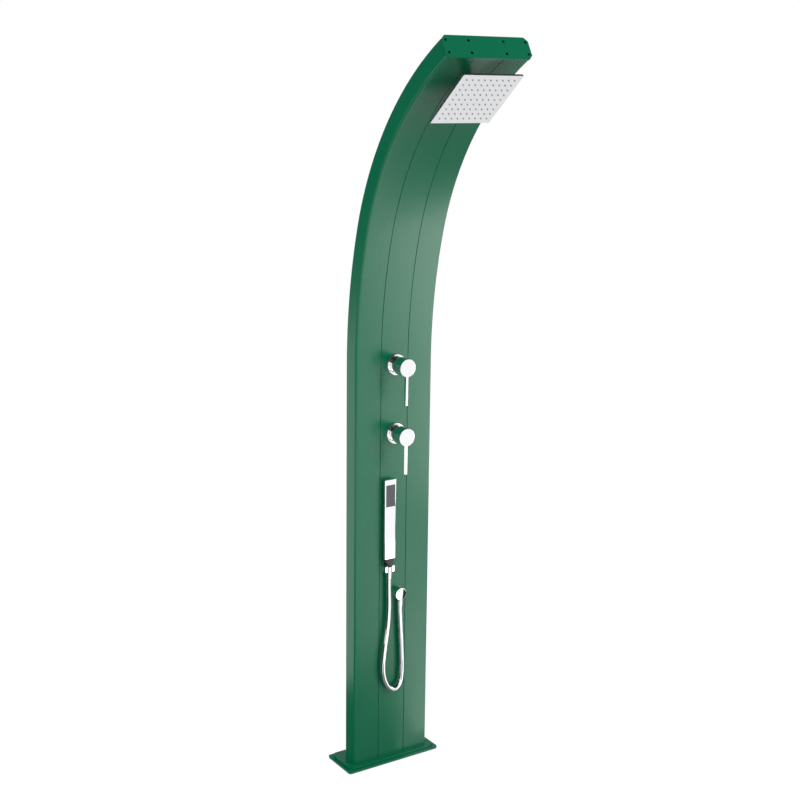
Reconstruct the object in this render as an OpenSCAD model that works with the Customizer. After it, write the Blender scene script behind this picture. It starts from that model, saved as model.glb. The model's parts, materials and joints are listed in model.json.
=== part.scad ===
// Outdoor shower post: two bent aluminium profiles with clip-in panels on a stepped foot,
// with a single lever mixer, a diverter, a square rain head on a ball joint and a stick handset.
// Millimetres. Origin at the centre of the floor plate's underside, front towards -Y, +Z up.

/* [Post] */
// Width of the post across both side profiles
post_w = 280; // [260:1:300]
// Depth of the post from its front face to its back face
post_d = 60; // [58:1:70]
// Height above the floor at which the bend starts
straight_h = 1335; // [1300:5:1400]
// Radius of the gentle lower bend, at the front face
bend1_r = 1500; // [1400:10:1700]
// Angle of the lower bend in degrees
bend1_a = 15.5; // [14:0.5:17]
// Radius of the tighter upper bend, at the front face
bend2_r = 845; // [800:5:900]
// Angle of the upper bend in degrees
bend2_a = 44.8; // [43:0.1:48]
// Width of the channel between the side profiles
channel_w = 100; // [96:1:102]
// Wall thickness of the extruded profiles
wall = 2.5; // [2:0.1:3]
// Radius of the long outer edges of the side profiles
corner_r = 8; // [5:0.5:9]
// Visible gap at the seam on each side of a channel panel
seam = 1.6; // [1.2:0.1:2.2]
// Distance of a channel panel's upper end from the end cap
panel_stop = 18; // [14:1:24]
// Distance of the post's centre line in front of the floor plate's centre
post_forward = 15; // [10:1:18]

/* [Foot] */
// Length of the floor plate across the post
floor_l = 345; // [335:1:370]
// Depth of the floor plate
floor_d = 140; // [134:1:150]
// Thickness of the floor plate
floor_t = 8; // [6:0.5:12]
// Corner radius of the floor plate
floor_r = 9; // [8:1:18]
// Step from the floor plate's edge in to the foot plate's edge
foot_step = 8; // [6:1:12]
// Thickness of the foot plate
foot_t = 6.5; // [5:0.5:8]
// Size of the cut corners of the foot plate
foot_cut = 14; // [10:1:16]
// Width of the water entry through both plates
entry_w = 82; // [70:1:84]
// Depth of the water entry through both plates
entry_d = 28; // [24:1:30]
// Spacing of the floor bolt holes across the post
bolt_x = 288; // [284:1:292]
// Spacing of the floor bolt holes from front to back
bolt_y = 88; // [84:1:90]
// Radius of a floor bolt hole, for an M10 anchor bolt
bolt_hole_r = 5.5; // [5:0.1:6]
// Radius of the countersink of a floor bolt hole
bolt_head_r = 10; // [9:0.5:11]
// Height of the steel uprights inside the side profiles
upright_h = 130; // [110:5:160]
// Wall thickness of the steel uprights
upright_wall = 3; // [2:0.5:4]
// Radius of the screws that hold the side profiles to the uprights
upright_screw_r = 3; // [2.5:0.5:4]

/* [End cap] */
// Thickness of the end cap
cap_t = 6; // [5:0.5:8]
// How far the end cap stands out past the post
cap_over = 3.5; // [2:0.5:4]
// Size of the end cap's cut corners
cap_cut = 12; // [6:1:14]
// Radius of the screw ports in the side profiles
port_r = 2.3; // [2:0.1:2.5]
// Distance of an outer screw port from the post's side
port_side = 7.5; // [7:0.5:10]
// Distance of an inner screw port from the channel
port_inner = 8; // [7:0.5:10]
// Distance of a screw port from the front face and the back face
port_depth = 11.5; // [9:0.5:13]
// Length of an end cap screw
cap_screw_l = 16; // [12:1:20]

/* [Controls] */
// Distance of the mixer's axis below the start of the bend
mixer_drop = 4; // [2:1:20]
// Distance between the mixer's and the diverter's axes
control_gap = 219; // [200:1:230]
// Sideways place of both controls
control_x = 4; // [0:1:5]
// Radius of the round cup behind a knob
cup_r = 33; // [31:0.5:34]
// Length of a cup
cup_l = 28; // [26:0.5:28]
// Wall thickness of a cup
cup_wall = 1.5; // [1.2:0.1:1.6]
// Radius of a knob
knob_r = 28; // [27:0.1:28]
// Distance of a knob's front face from the front panel
knob_front = 70; // [68:1:76]
// Thickness of a knob's solid front
knob_solid = 16; // [15:1:18]
// Wall thickness of a knob's skirt
knob_wall = 3; // [2.5:0.1:3]
// Gap between a cup and its knob
knob_gap = 1; // [0.8:0.1:1.5]
// Radius of a pin lever
lever_r = 5; // [4:0.5:5.5]
// Distance from a knob's axis to its lever's tip
lever_reach = 119; // [90:1:125]
// Distance of the lift axis in front of the knob's rear edge
lift_in = 6; // [5.5:0.5:7]
// Radius of the valve bodies behind the front panel
valve_r = 20; // [19:0.5:20.5]
// Depth of the valve bodies behind the front face
valve_depth = 30; // [28:1:31]
// Radius of a valve's threaded neck
neck_r = 17; // [16.5:0.5:17.5]
// Radius of a ceramic cartridge
cartridge_r = 13.9; // [12.5:0.1:14]

/* [Water pipes] */
// Outer radius of the copper pipes
pipe_r = 5; // [4.5:0.1:5]
// Wall thickness of the copper pipes
pipe_wall = 1; // [0.8:0.1:1.2]
// Depth of the pipes' centre line behind the front face
pipe_depth = 16; // [15:0.5:17]
// Depth of the riser's and the supply pipes' centre lines behind the front face
riser_depth = 44; // [42:1:44]
// Sideways distance of the supply pipes from the controls' centre
supply_x = 14; // [13:0.5:15]
// Radius of the inlet's internal thread, at its crests
inlet_r = 9.3; // [8.5:0.1:9.4]
// Length of the inlet's internal thread
inlet_l = 14; // [12:1:18]
// Height of the inlets' open ends above the floor
inlet_z = 45; // [30:5:80]
// Width across the flats of the inlet connectors
inlet_flats = 22; // [21.5:0.5:23]

/* [Handset] */
// Width of the stick handset
handset_w = 41; // [38:1:44]
// Thickness of the stick handset
handset_t = 14; // [13:0.5:16]
// Length of the handset's straight body
handset_l = 261; // [220:1:280]
// Distance of the handset's top below the diverter's axis
handset_drop = 144; // [137:1:150]
// Sideways place of the handset
handset_x = -22; // [-26:1:-21]
// Distance of the handset's centre line from the front panel
handset_off = 13; // [13:0.5:15]
// Width of the rubber spray face
spray_w = 35; // [30:1:36]
// Length of the rubber spray face
spray_l = 71; // [60:1:80]
// Distance of the spray face below the handset's top
spray_top = 17; // [12:1:24]
// Length of the tapered neck under the straight body
neck_l = 27; // [22:1:30]
// Length of the conical hose nut
cone_l = 40; // [36:1:44]
// Radius of the conical hose nut at its upper end
cone_top_r = 11; // [10.5:0.1:11.3]
// Radius of the conical hose nut at its lower end
cone_low_r = 9; // [8.6:0.1:9.5]
// Height of the holder's fork
fork_h = 20; // [16:1:24]
// Width of the holder's fork
fork_w = 34; // [32:1:40]
// Diameter of the shower hose
hose_d = 16; // [13:0.5:16]

/* [Hose outlet] */
// Sideways place of the hose outlet
outlet_x = 21; // [18:1:24]
// Distance of the hose outlet's axis below the handset's conical nut
outlet_drop = 61; // [57:1:65]
// Radius of the round hose outlet
outlet_r = 20; // [18:0.5:22]
// Distance of the hose outlet's front from the front panel
outlet_off = 21; // [20.5:0.5:24]
// Radius of the outlet's threaded neck through the front panel
outlet_neck_r = 9; // [8:0.5:10]
// Radius of the hose nut at the outlet
hose_nut_r = 9.5; // [9:0.1:10.5]

/* [Rain head] */
// Side of the square rain head
head_s = 200; // [190:5:220]
// Thickness of the head's face plate
face_t = 2.5; // [2:0.1:3]
// Thickness of the head's back shell
shell_t = 3.5; // [3:0.1:4.5]
// Angle along the bend at which the arm leaves the post, in degrees
arm_a = 52.8; // [51:0.1:54]
// Distance of the ball's centre from the post's front face
ball_off = 27; // [27:0.5:30]
// Radius of the swivel ball
ball_r = 11; // [10.5:0.1:11.5]
// Distance from the ball's centre to the head's spray side
head_reach = 34.4; // [33:0.1:38]
// Lean of the head from the arm at rest, in degrees
head_rest = -2.8; // [-4:0.1:2]
// Radius of the arm's threaded pipe
arm_r = 8; // [7.5:0.1:8.5]
// Nozzles along one side of the head
nozzle_n = 9; // [7:1:9]
// Spacing of the nozzles
nozzle_pitch = 20; // [18:0.5:20.5]
// Radius of a rubber nozzle where it leaves the face plate
nozzle_r = 2.2; // [1.8:0.1:2.5]
// Length of a nozzle below the face plate
nozzle_l = 2.6; // [2:0.1:3.5]

/* [Hidden] */
$fn = 96;
arc_fn = 360;
cut = 1;
// Clearances
slide_gap = 0.3;
clip_gap = 0.2;
run_gap = 0.05;
screw_gap = 0.2;
seat_gap = 0.4;
curve_gap = 0.3;
cap_joint = 0.6;

// The post's own measures
face_y = -post_forward - post_d / 2;
back_y = face_y + post_d;
foot_z = floor_t + foot_t;
panel_half = channel_w / 2 - seam;
centre1 = [face_y - bend1_r, straight_h];
centre2 = centre1 + (bend1_r - bend2_r) * [cos(bend1_a), sin(bend1_a)];
end_a = bend1_a + bend2_a;
stop_a = asin(panel_stop / bend2_r);

// Clip of a channel panel, as depths from the panel's own face
clip_leg = 2;
clip_rib = 1.8;
clip_rib_in = seam - clip_gap;
clip_foot = 2;
clip_top = 8;
clip_foot_z = clip_top + clip_rib + clip_gap;
leg_l = clip_foot_z + clip_foot;

// Screw ports, as distances from the channel's middle
port_xs = [channel_w / 2 + port_inner, post_w / 2 - port_side];
port_boss_r = port_r + 1.9;
upright_x0 = port_xs[0] + port_boss_r + slide_gap * 4;
upright_x1 = port_xs[1] - port_boss_r - slide_gap * 4;
upright_mid = (upright_x0 + upright_x1) / 2;
entry_y = face_y + riser_depth;
upright_screw_zs = [foot_z + upright_h * 0.3, foot_z + upright_h * 0.75];
screw_head_r = upright_screw_r * 1.8;
screw_head_t = upright_screw_r * 0.9;

// Heights
mixer_z = straight_h - mixer_drop;
diverter_z = mixer_z - control_gap;
cap_screw_r = port_r - screw_gap;
cap_head_r = cap_screw_r * 2;

// Controls, as distances from the front face
cup_low = seat_gap;
cup_base = cup_low + cup_wall;
nut_front = 12;
neck_front = 9;
knob_back = cup_low + cup_l + knob_gap;
lift_off = knob_back + lift_in;
turret_front = lift_off + 9;
turret_r = 19;
nose_r = 8;
nose_front = 24;
rocker_r = 2.5;
spindle_r = 4;
lever_off = knob_front - knob_solid + 7;
socket_l = 4;

// Handset and hose ends
handset_z = diverter_z - handset_drop - handset_l;
fork_top = handset_z - neck_l + 2;
cone_top = handset_z - neck_l;
cone_low = cone_top - cone_l;
outlet_z = cone_low - outlet_drop;
holder_plate = 1.6;
holder_screw_r = 1.6;
holder_screw_z = handset_z - 8;
hose_r = hose_d / 2;
hose_sides = 10;
handset_y = face_y - handset_off;
nipple_low = outlet_z - 39;

// Rain head, from the ball's centre along the head's own axis
face_back = head_reach - face_t;
shell_back = face_back - shell_t;
elbow_half = 14;
water_r = 3.5;
hub_top = 16.5;
stem_r = 6;
collar_front = ball_off + 10;
collar_r = 17;
cavity_r = 14;

// Hose route from the handset's nut to the outlet's nut, sideways and up from the handset's nut
hose_points = [
    [handset_x, 0], [-22, -18], [-21.5, -50], [-21, -85], [-22, -120], [-24.5, -155],
    [-28.5, -188], [-34, -225], [-38.5, -260], [-41.5, -290], [-41, -318], [-37, -340],
    [-29, -360], [-18, -376], [-6, -385], [6, -386], [17, -379], [25, -365], [29, -344],
    [30.5, -318], [30, -288], [28.5, -250], [26.5, -210], [24, -170], [22, -135], [21, -115],
    [outlet_x, nipple_low - cone_low]
];

green = [0.0, 0.43, 0.29];
chrome = [0.85, 0.86, 0.87];
steel = [0.6, 0.61, 0.62];
brass = [0.75, 0.6, 0.3];
copper = [0.72, 0.45, 0.32];
rubber = [0.4, 0.41, 0.42];
black = [0.1, 0.1, 0.1];

// Places a piece's own frame on the straight front, its Z axis pointing out of the face
module on_front(x, z) {
    translate([x, face_y, z])
        rotate([90, 0, 0])
            children();
}

// Places a piece's own frame on the upper bend: Y into the post, Z along it
module on_bend(a) {
    translate([0, centre2[0] + bend2_r * cos(a), centre2[1] + bend2_r * sin(a)])
        rotate([a, 0, 0])
            children();
}

// Places a piece's own frame on the rain head's arm, its Z axis pointing out of the face
module on_arm() {
    on_bend(arm_a)
        rotate([90, 0, 0])
            children();
}

// Places a piece's own frame at the ball's centre, its Z axis pointing to the spray side
module on_head() {
    on_arm()
        translate([0, 0, ball_off])
            rotate([head_rest, 0, 0])
                children();
}

// Turns a flat section forward round one bend; the section's Y is its depth behind the face.
// The centre's whole and broken parts are moved apart, which keeps the joined ends exact.
module bend_section(centre, r, start, a) {
    whole = [floor(centre[0]), floor(centre[1])];
    part = centre - whole;
    translate([0, whole[0], whole[1]])
        translate([0, part[0], part[1]])
            rotate([90, 0, 90])
                rotate_extrude(angle = a, start = start, $fn = arc_fn)
                    translate([r, 0])
                        mirror([1, -1])
                            children();
}

// Sweeps a flat section up the post and round both bends, ending the given angle short
module along_post(low, short) {
    translate([0, face_y, low])
        linear_extrude(straight_h - low)
            children();
    bend_section(centre1, bend1_r, 0, bend1_a)
        children();
    bend_section(centre2, bend2_r, bend1_a, bend2_a - short)
        children();
}

module rounded_rect(x0, y0, x1, y1, r) {
    translate([x0 + r, y0])
        square([x1 - x0 - 2 * r, y1 - y0]);
    translate([x0, y0 + r])
        square([x1 - x0, y1 - y0 - 2 * r]);
    for (x = [x0 + r, x1 - r], y = [y0 + r, y1 - r])
        translate([x, y])
            circle(r);
}

// A rectangle with its four corners cut off at 45 degrees
module cut_rect(x, y0, y1, c) {
    polygon([
        [-x + c, y0], [x - c, y0], [x, y0 + c], [x, y1 - c],
        [x - c, y1], [-x + c, y1], [-x, y1 - c], [-x, y0 + c]
    ]);
}

module disc(r, z0, z1) {
    translate([0, 0, z0])
        cylinder(r = r, h = z1 - z0);
}

module ring(outer, inner, z0, z1) {
    difference() {
        disc(outer, z0, z1);
        disc(inner, z0 - cut, z1 + cut);
    }
}

// Foot

module floor_bolts() {
    for (x = [-1, 1] * bolt_x / 2, y = [-1, 1] * bolt_y / 2)
        translate([x, y, 0])
            children();
}

module water_entry(z0, z1) {
    translate([0, 0, z0])
        linear_extrude(z1 - z0)
            rounded_rect(-entry_w / 2, entry_y - entry_d / 2,
                entry_w / 2, entry_y + entry_d / 2, 4);
}

module floor_plate() {
    color(green)
        difference() {
            linear_extrude(floor_t)
                rounded_rect(-floor_l / 2, -floor_d / 2, floor_l / 2, floor_d / 2, floor_r);
            floor_bolts() {
                disc(bolt_hole_r, -cut, floor_t + cut);
                translate([0, 0, floor_t - (bolt_head_r - bolt_hole_r)])
                    cylinder(r1 = bolt_hole_r, r2 = bolt_head_r + cut,
                        h = bolt_head_r - bolt_hole_r + cut);
            }
            water_entry(-cut, floor_t + cut);
        }
}

module upright_outline(grow) {
    translate([upright_x0 - grow, wall + slide_gap - grow])
        square([upright_x1 - upright_x0 + 2 * grow, post_d - 2 * (wall + slide_gap) + 2 * grow]);
}

module foot_plate() {
    color(green)
        difference() {
            translate([0, 0, floor_t])
                linear_extrude(foot_t)
                    cut_rect(floor_l / 2 - foot_step, -floor_d / 2 + foot_step,
                        floor_d / 2 - foot_step, foot_cut);
            water_entry(floor_t - cut, foot_z + cut);
            for (side = [0, 1])
                mirror([side, 0, 0])
                    translate([0, face_y, floor_t - cut])
                        linear_extrude(foot_t + 2 * cut)
                            upright_outline(slide_gap);
        }
}

module upright_holes(r) {
    for (z = upright_screw_zs)
        translate([upright_mid, back_y - wall - slide_gap - upright_wall - cut, z])
            rotate([-90, 0, 0])
                cylinder(r = r, h = wall + slide_gap + upright_wall + 2 * cut);
}

module upright() {
    difference() {
        translate([0, face_y, floor_t])
            linear_extrude(foot_t + upright_h)
                difference() {
                    upright_outline(0);
                    upright_outline(-upright_wall);
                }
        upright_holes(upright_screw_r);
    }
}

module right_upright() {
    color(steel)
        upright();
}

module left_upright() {
    color(steel)
        mirror([1, 0, 0])
            upright();
}

module upright_screws() {
    color(steel)
        for (side = [0, 1], z = upright_screw_zs)
            mirror([side, 0, 0])
                translate([upright_mid, back_y, z])
                    rotate([-90, 0, 0])
                        difference() {
                            union() {
                                disc(upright_screw_r, -wall - slide_gap - upright_wall, 0);
                                disc(screw_head_r, 0, screw_head_t);
                            }
                            translate([0, 0, screw_head_t - 1.5])
                                cylinder(r = upright_screw_r * 0.7, h = 3, $fn = 6);
                        }
}

// Side profiles and channel panels

module clip_ribs() {
    for (depth = [clip_top, clip_foot_z + clip_foot + clip_gap])
        for (y = [depth, post_d - depth - clip_rib])
            translate([channel_w / 2 - clip_rib_in, y])
                square([clip_rib_in + wall / 2, clip_rib]);
}

module port_webs() {
    for (y = [port_depth, post_d - port_depth]) {
        for (x = port_xs)
            translate([x, y])
                circle(port_boss_r);
        translate([channel_w / 2 + wall / 2, y - wall / 2])
            square([port_inner - wall / 2, wall]);
        translate([port_xs[1], y - wall / 2])
            square([port_side - wall / 2, wall]);
    }
}

module profile_section() {
    difference() {
        union() {
            difference() {
                union() {
                    rounded_rect(channel_w / 2, 0, post_w / 2, post_d, corner_r);
                    translate([channel_w / 2, 0])
                        square([corner_r, post_d]);
                }
                rounded_rect(channel_w / 2 + wall, wall, post_w / 2 - wall, post_d - wall,
                    corner_r - wall);
            }
            port_webs();
            clip_ribs();
        }
        for (x = port_xs, y = [port_depth, post_d - port_depth])
            translate([x, y])
                circle(port_r);
    }
}

module side_profile() {
    difference() {
        along_post(foot_z, 0)
            profile_section();
        upright_holes(upright_screw_r + screw_gap);
    }
}

module right_side_profile() {
    color(green)
        side_profile();
}

module left_side_profile() {
    color(green)
        mirror([1, 0, 0])
            side_profile();
}

module panel_section() {
    translate([-panel_half, 0])
        square([2 * panel_half, wall]);
    for (side = [0, 1])
        mirror([side, 0]) {
            translate([panel_half - clip_leg, wall / 2])
                square([clip_leg, leg_l - wall / 2]);
            translate([panel_half - clip_leg, clip_foot_z])
                square([clip_leg + seam - clip_gap, clip_foot]);
        }
}

module front_panel() {
    color(green)
        difference() {
            along_post(foot_z, stop_a)
                panel_section();
            for (z = [mixer_z, diverter_z])
                on_front(control_x, z)
                    disc(neck_r + slide_gap, -wall - cut, cut);
            on_front(outlet_x, outlet_z)
                disc(outlet_neck_r + slide_gap, -wall - cut, cut);
            on_front(handset_x, holder_screw_z)
                disc(holder_screw_r, -wall - cut, cut);
            on_arm()
                disc(arm_r + slide_gap, -wall - cut, cut);
        }
}

module rear_panel() {
    color(green)
        along_post(foot_z, stop_a)
            translate([0, post_d])
                mirror([0, 1])
                    panel_section();
}

// End cap

module end_ports() {
    for (side = [-1, 1], x = port_xs, y = [port_depth, post_d - port_depth])
        translate([side * x, y, 0])
            children();
}

module end_cap() {
    plug_l = panel_stop - cap_joint;
    color(green)
        on_bend(end_a)
            difference() {
                union() {
                    linear_extrude(cap_t)
                        cut_rect(post_w / 2 + cap_over, -cap_over, post_d + cap_over, cap_cut);
                    translate([-panel_half, 0, -plug_l])
                        cube([2 * panel_half, post_d, plug_l + cut]);
                }
                translate([-panel_half + wall, wall, -plug_l - cut])
                    cube([2 * (panel_half - wall), post_d - 2 * wall, plug_l + cut]);
                end_ports() {
                    disc(cap_screw_r + screw_gap, -cut, cap_t + cut);
                    translate([0, 0, cap_t - cap_screw_r])
                        cylinder(r1 = cap_screw_r, r2 = cap_head_r + cut, h = cap_screw_r + cut);
                }
            }
}

module end_cap_screws() {
    color(black)
        on_bend(end_a)
            end_ports()
                difference() {
                    union() {
                        disc(cap_screw_r, cap_t - cap_screw_l, cap_t);
                        translate([0, 0, cap_t - cap_screw_r])
                            cylinder(r1 = cap_screw_r - run_gap, r2 = cap_head_r - run_gap,
                                h = cap_screw_r);
                    }
                    translate([0, 0, cap_t - 1.5])
                        cylinder(r = cap_screw_r * 0.6, h = 3, $fn = 6);
                }
}

// Mixer and diverter

// Brass valve body in its own frame: a round block behind the panel, a neck through it
module valve_block() {
    disc(valve_r, -valve_depth, -wall);
    disc(neck_r, -wall - cut, neck_front);
}

module valve_bore() {
    disc(cartridge_r + run_gap * 2, -valve_depth + 8, neck_front + cut);
}

// A pipe socket in the block's wall: turned by a, moved sideways by x
module socket_boss(a, x) {
    rotate([0, 0, a])
        translate([x, -valve_r - 6, -pipe_depth])
            rotate([-90, 0, 0])
                cylinder(r = pipe_r + 1.5, h = valve_r - 2);
}

module socket_bore(a, x) {
    rotate([0, 0, a])
        translate([x, -valve_r - 6 - cut, -pipe_depth])
            rotate([-90, 0, 0]) {
                cylinder(r = pipe_r + run_gap, h = 10 + cut);
                cylinder(r = pipe_r - pipe_wall, h = valve_r + 1);
            }
}

module rear_bore(x) {
    translate([x, 0, -valve_depth]) {
        disc(pipe_r + run_gap, -cut, 6);
        disc(pipe_r - pipe_wall, -cut, 10);
    }
}

module mixer_body() {
    color(brass)
        on_front(control_x, mixer_z)
            difference() {
                union() {
                    valve_block();
                    socket_boss(0, 0);
                }
                valve_bore();
                socket_bore(0, 0);
                rear_bore(-supply_x);
                rear_bore(supply_x);
            }
}

module diverter_body() {
    color(brass)
        on_front(control_x, diverter_z)
            difference() {
                union() {
                    valve_block();
                    socket_boss(180, 0);
                    socket_boss(0, outlet_x - control_x);
                }
                valve_bore();
                socket_bore(180, 0);
                socket_bore(0, outlet_x - control_x);
                rear_bore(0);
            }
}

module cartridge() {
    disc(cartridge_r, -valve_depth + 8, neck_front);
    disc(nose_r, neck_front - cut, nose_front);
}

module mixer_cartridge() {
    color(black)
        on_front(control_x, mixer_z)
            cartridge();
}

module diverter_cartridge() {
    color(black)
        on_front(control_x, diverter_z)
            difference() {
                cartridge();
                disc(spindle_r + run_gap, -slide_gap, nose_front + cut);
            }
}

module cartridge_nut() {
    difference() {
        disc(turret_r + 0.5, cup_base, nut_front);
        disc(neck_r + run_gap, cup_base - cut, neck_front);
        disc(nose_r + slide_gap, neck_front - cut, nut_front + cut);
    }
}

module mixer_nut() {
    color(brass)
        on_front(control_x, mixer_z)
            cartridge_nut();
}

module diverter_nut() {
    color(brass)
        on_front(control_x, diverter_z)
            cartridge_nut();
}

// Round cup with a softened front edge, clamped on the panel by the cartridge nut
module cup() {
    edge = cup_wall / 3;
    inner = cup_r - cup_wall;
    hole = neck_r + slide_gap;
    top = cup_low + cup_l;
    rotate_extrude()
        polygon([
            [hole, cup_low], [cup_r, cup_low], [cup_r, top - edge], [cup_r - edge, top],
            [inner + edge, top], [inner, top - edge], [inner, cup_base], [hole, cup_base]
        ]);
}

module mixer_cup() {
    color(chrome)
        on_front(control_x, mixer_z)
            cup();
}

module diverter_cup() {
    color(chrome)
        on_front(control_x, diverter_z)
            cup();
}

// Turns on the cartridge's nose and carries the lift axis
module mixer_turret() {
    slot = rocker_r + slide_gap;
    color(chrome)
        on_front(control_x, mixer_z)
            difference() {
                disc(turret_r, nut_front + slide_gap, turret_front);
                disc(nose_r + run_gap, nut_front, nose_front + slide_gap);
                translate([-slot, -turret_r + 6, nose_front])
                    cube([2 * slot, 2 * turret_r - 12, turret_front]);
                translate([-turret_r - cut, 0, lift_off])
                    rotate([0, 90, 0])
                        cylinder(r = rocker_r + run_gap, h = 2 * turret_r + 2 * cut);
            }
}

// Cross pin and control rod in one piece
module mixer_rocker() {
    half = knob_r - knob_wall - 0.5;
    color(steel)
        on_front(control_x, mixer_z) {
            translate([-half, 0, lift_off])
                rotate([0, 90, 0])
                    cylinder(r = rocker_r, h = 2 * half);
            disc(rocker_r, lift_off - 8, knob_front - knob_solid + 4);
        }
}

// A knob's hollow round body, with the socket of its pin lever
module knob() {
    edge = 0.8;
    inner = knob_r - knob_wall;
    ceiling = knob_front - knob_solid;
    difference() {
        union() {
            disc(knob_r, knob_back, knob_front - edge);
            translate([0, 0, knob_front - edge])
                cylinder(r1 = knob_r, r2 = knob_r - edge, h = edge);
        }
        difference() {
            disc(inner, knob_back - cut, ceiling);
            children();
        }
        translate([0, -knob_r - cut, lever_off])
            rotate([-90, 0, 0])
                cylinder(r = lever_r + run_gap, h = socket_l + cut);
        translate([0, -knob_r, lever_off])
            rotate([-90, 0, 0])
                cylinder(r = lever_r / 2, h = socket_l + 10);
    }
}

module mixer_knob() {
    inner = knob_r - knob_wall;
    ear = turret_r + slide_gap * 3;
    color(chrome)
        on_front(control_x, mixer_z)
            difference() {
                knob()
                    for (side = [0, 1])
                        mirror([side, 0, 0])
                            translate([ear, -rocker_r - 2.5, lift_off - rocker_r - 2])
                                cube([inner - ear + cut, 2 * rocker_r + 5, knob_front]);
                translate([-knob_r + knob_wall + 0.5, 0, lift_off])
                    rotate([0, 90, 0])
                        cylinder(r = rocker_r, h = 2 * (knob_r - knob_wall - 0.5));
                disc(rocker_r, knob_back, knob_front - knob_solid + 4);
            }
}

module diverter_knob() {
    color(chrome)
        on_front(control_x, diverter_z)
            difference() {
                knob()
                    disc(spindle_r + 4, knob_back + 2, knob_front);
                disc(spindle_r, knob_back - cut, knob_front - knob_solid + 4);
            }
}

module diverter_spindle() {
    color(brass)
        on_front(control_x, diverter_z)
            disc(spindle_r, 0, knob_front - knob_solid + 4);
}

// Pin lever hanging straight down, with the stud that screws into the knob
module lever() {
    edge = 0.8;
    translate([0, 0, lever_off])
        rotate([90, 0, 0]) {
            disc(lever_r, knob_r - socket_l, lever_reach - edge);
            translate([0, 0, lever_reach - edge])
                cylinder(r1 = lever_r, r2 = lever_r - edge, h = edge);
            disc(lever_r / 2 - run_gap, knob_r - socket_l - 8, knob_r);
        }
}

module mixer_lever() {
    color(chrome)
        on_front(control_x, mixer_z)
            lever();
}

module diverter_lever() {
    color(chrome)
        on_front(control_x, diverter_z)
            lever();
}

// Water pipes

module pipe_ring() {
    difference() {
        circle(pipe_r);
        circle(pipe_r - pipe_wall);
    }
}

module pipe(l) {
    linear_extrude(l)
        pipe_ring();
}

// Starts level in a valve's rear port, going back into the post, then turns straight up
module rear_turn(l, r) {
    rotate([-90, 0, 0])
        pipe(l);
    translate([0, l, r])
        rotate([90, 0, 90])
            rotate_extrude(angle = 90, start = 270)
                translate([r, 0])
                    pipe_ring();
}

// From an inlet straight up, then forward into the mixer's rear port
module supply_pipe() {
    turn_r = riser_depth - valve_depth;
    low = inlet_z + inlet_l + 3;
    translate([0, face_y + valve_depth - 6, mixer_z])
        mirror([0, 0, 1])
            rear_turn(6, turn_r);
    translate([0, face_y + riser_depth, low])
        pipe(mixer_z - turn_r - low);
}

module cold_pipe() {
    color(copper)
        translate([control_x + supply_x, 0, 0])
            supply_pipe();
}

module hot_pipe() {
    color(copper)
        translate([control_x - supply_x, 0, 0])
            supply_pipe();
}

// Hexagonal connector with an internal thread for the house's tube
module inlet(side) {
    translate([control_x + side * supply_x, face_y + riser_depth, inlet_z])
        difference() {
            rotate([0, 0, 30])
                cylinder(r = inlet_flats / sqrt(3), h = inlet_l + 9, $fn = 6);
            disc(inlet_r, -cut, inlet_l);
            disc(pipe_r - pipe_wall, 0, inlet_l + 4);
            disc(pipe_r + run_gap, inlet_l + 3, inlet_l + 9 + cut);
        }
}

module cold_inlet() {
    color(brass)
        inlet(1);
}

module hot_inlet() {
    color(brass)
        inlet(-1);
}

module mixed_pipe() {
    low = diverter_z + valve_r - 4;
    color(copper)
        translate([control_x, face_y + pipe_depth, low])
            pipe(control_gap - 2 * (valve_r - 4));
}

module riser_pipe() {
    turn_r = riser_depth - valve_depth;
    short = end_a - arm_a + asin(6 / (bend2_r + riser_depth));
    color(copper) {
        translate([control_x, face_y + valve_depth - 6, diverter_z])
            rear_turn(6, turn_r);
        along_post(diverter_z + turn_r, short)
            translate([control_x, riser_depth])
                pipe_ring();
    }
}

module feed_pipe() {
    low = outlet_z + 10;
    color(copper)
        translate([outlet_x, face_y + pipe_depth, low])
            pipe(diverter_z - valve_r + 4 - low);
}

// Hose outlet

module hose_outlet() {
    edge = 0.8;
    color(chrome)
        difference() {
            union() {
                on_front(outlet_x, outlet_z) {
                    disc(outlet_r, 0, outlet_off - edge);
                    translate([0, 0, outlet_off - edge])
                        cylinder(r1 = outlet_r, r2 = outlet_r - edge, h = edge);
                    disc(outlet_neck_r, -pipe_depth + 2, cut);
                }
                translate([outlet_x, handset_y, nipple_low + 8])
                    cylinder(r = hose_nut_r - 2, h = outlet_z - nipple_low - 8);
            }
            on_front(outlet_x, outlet_z)
                disc(pipe_r - pipe_wall, -pipe_depth, handset_off);
            translate([outlet_x, handset_y, nipple_low])
                cylinder(r = pipe_r - pipe_wall, h = outlet_z - nipple_low);
        }
}

module outlet_gasket() {
    color(rubber)
        on_front(outlet_x, outlet_z)
            ring(outlet_r - 6, outlet_neck_r + run_gap, -wall - 1.5, -wall);
}

// Screwed on the outlet's neck from inside the post; takes the feed pipe from above
module outlet_elbow() {
    half = outlet_neck_r + 3;
    top = 18;
    color(brass)
        on_front(outlet_x, outlet_z)
            difference() {
                translate([-half, -half, -pipe_depth - pipe_r - 3])
                    cube([2 * half, half + top, pipe_depth + pipe_r + 1.5 - wall]);
                disc(outlet_neck_r + run_gap, -pipe_depth + 2, 0);
                disc(pipe_r - pipe_wall, -pipe_depth - 2, 0);
                translate([0, 0, -pipe_depth])
                    rotate([-90, 0, 0]) {
                        disc(pipe_r + run_gap, 10, top + cut);
                        disc(pipe_r - pipe_wall, 0, top);
                    }
            }
}

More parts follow.
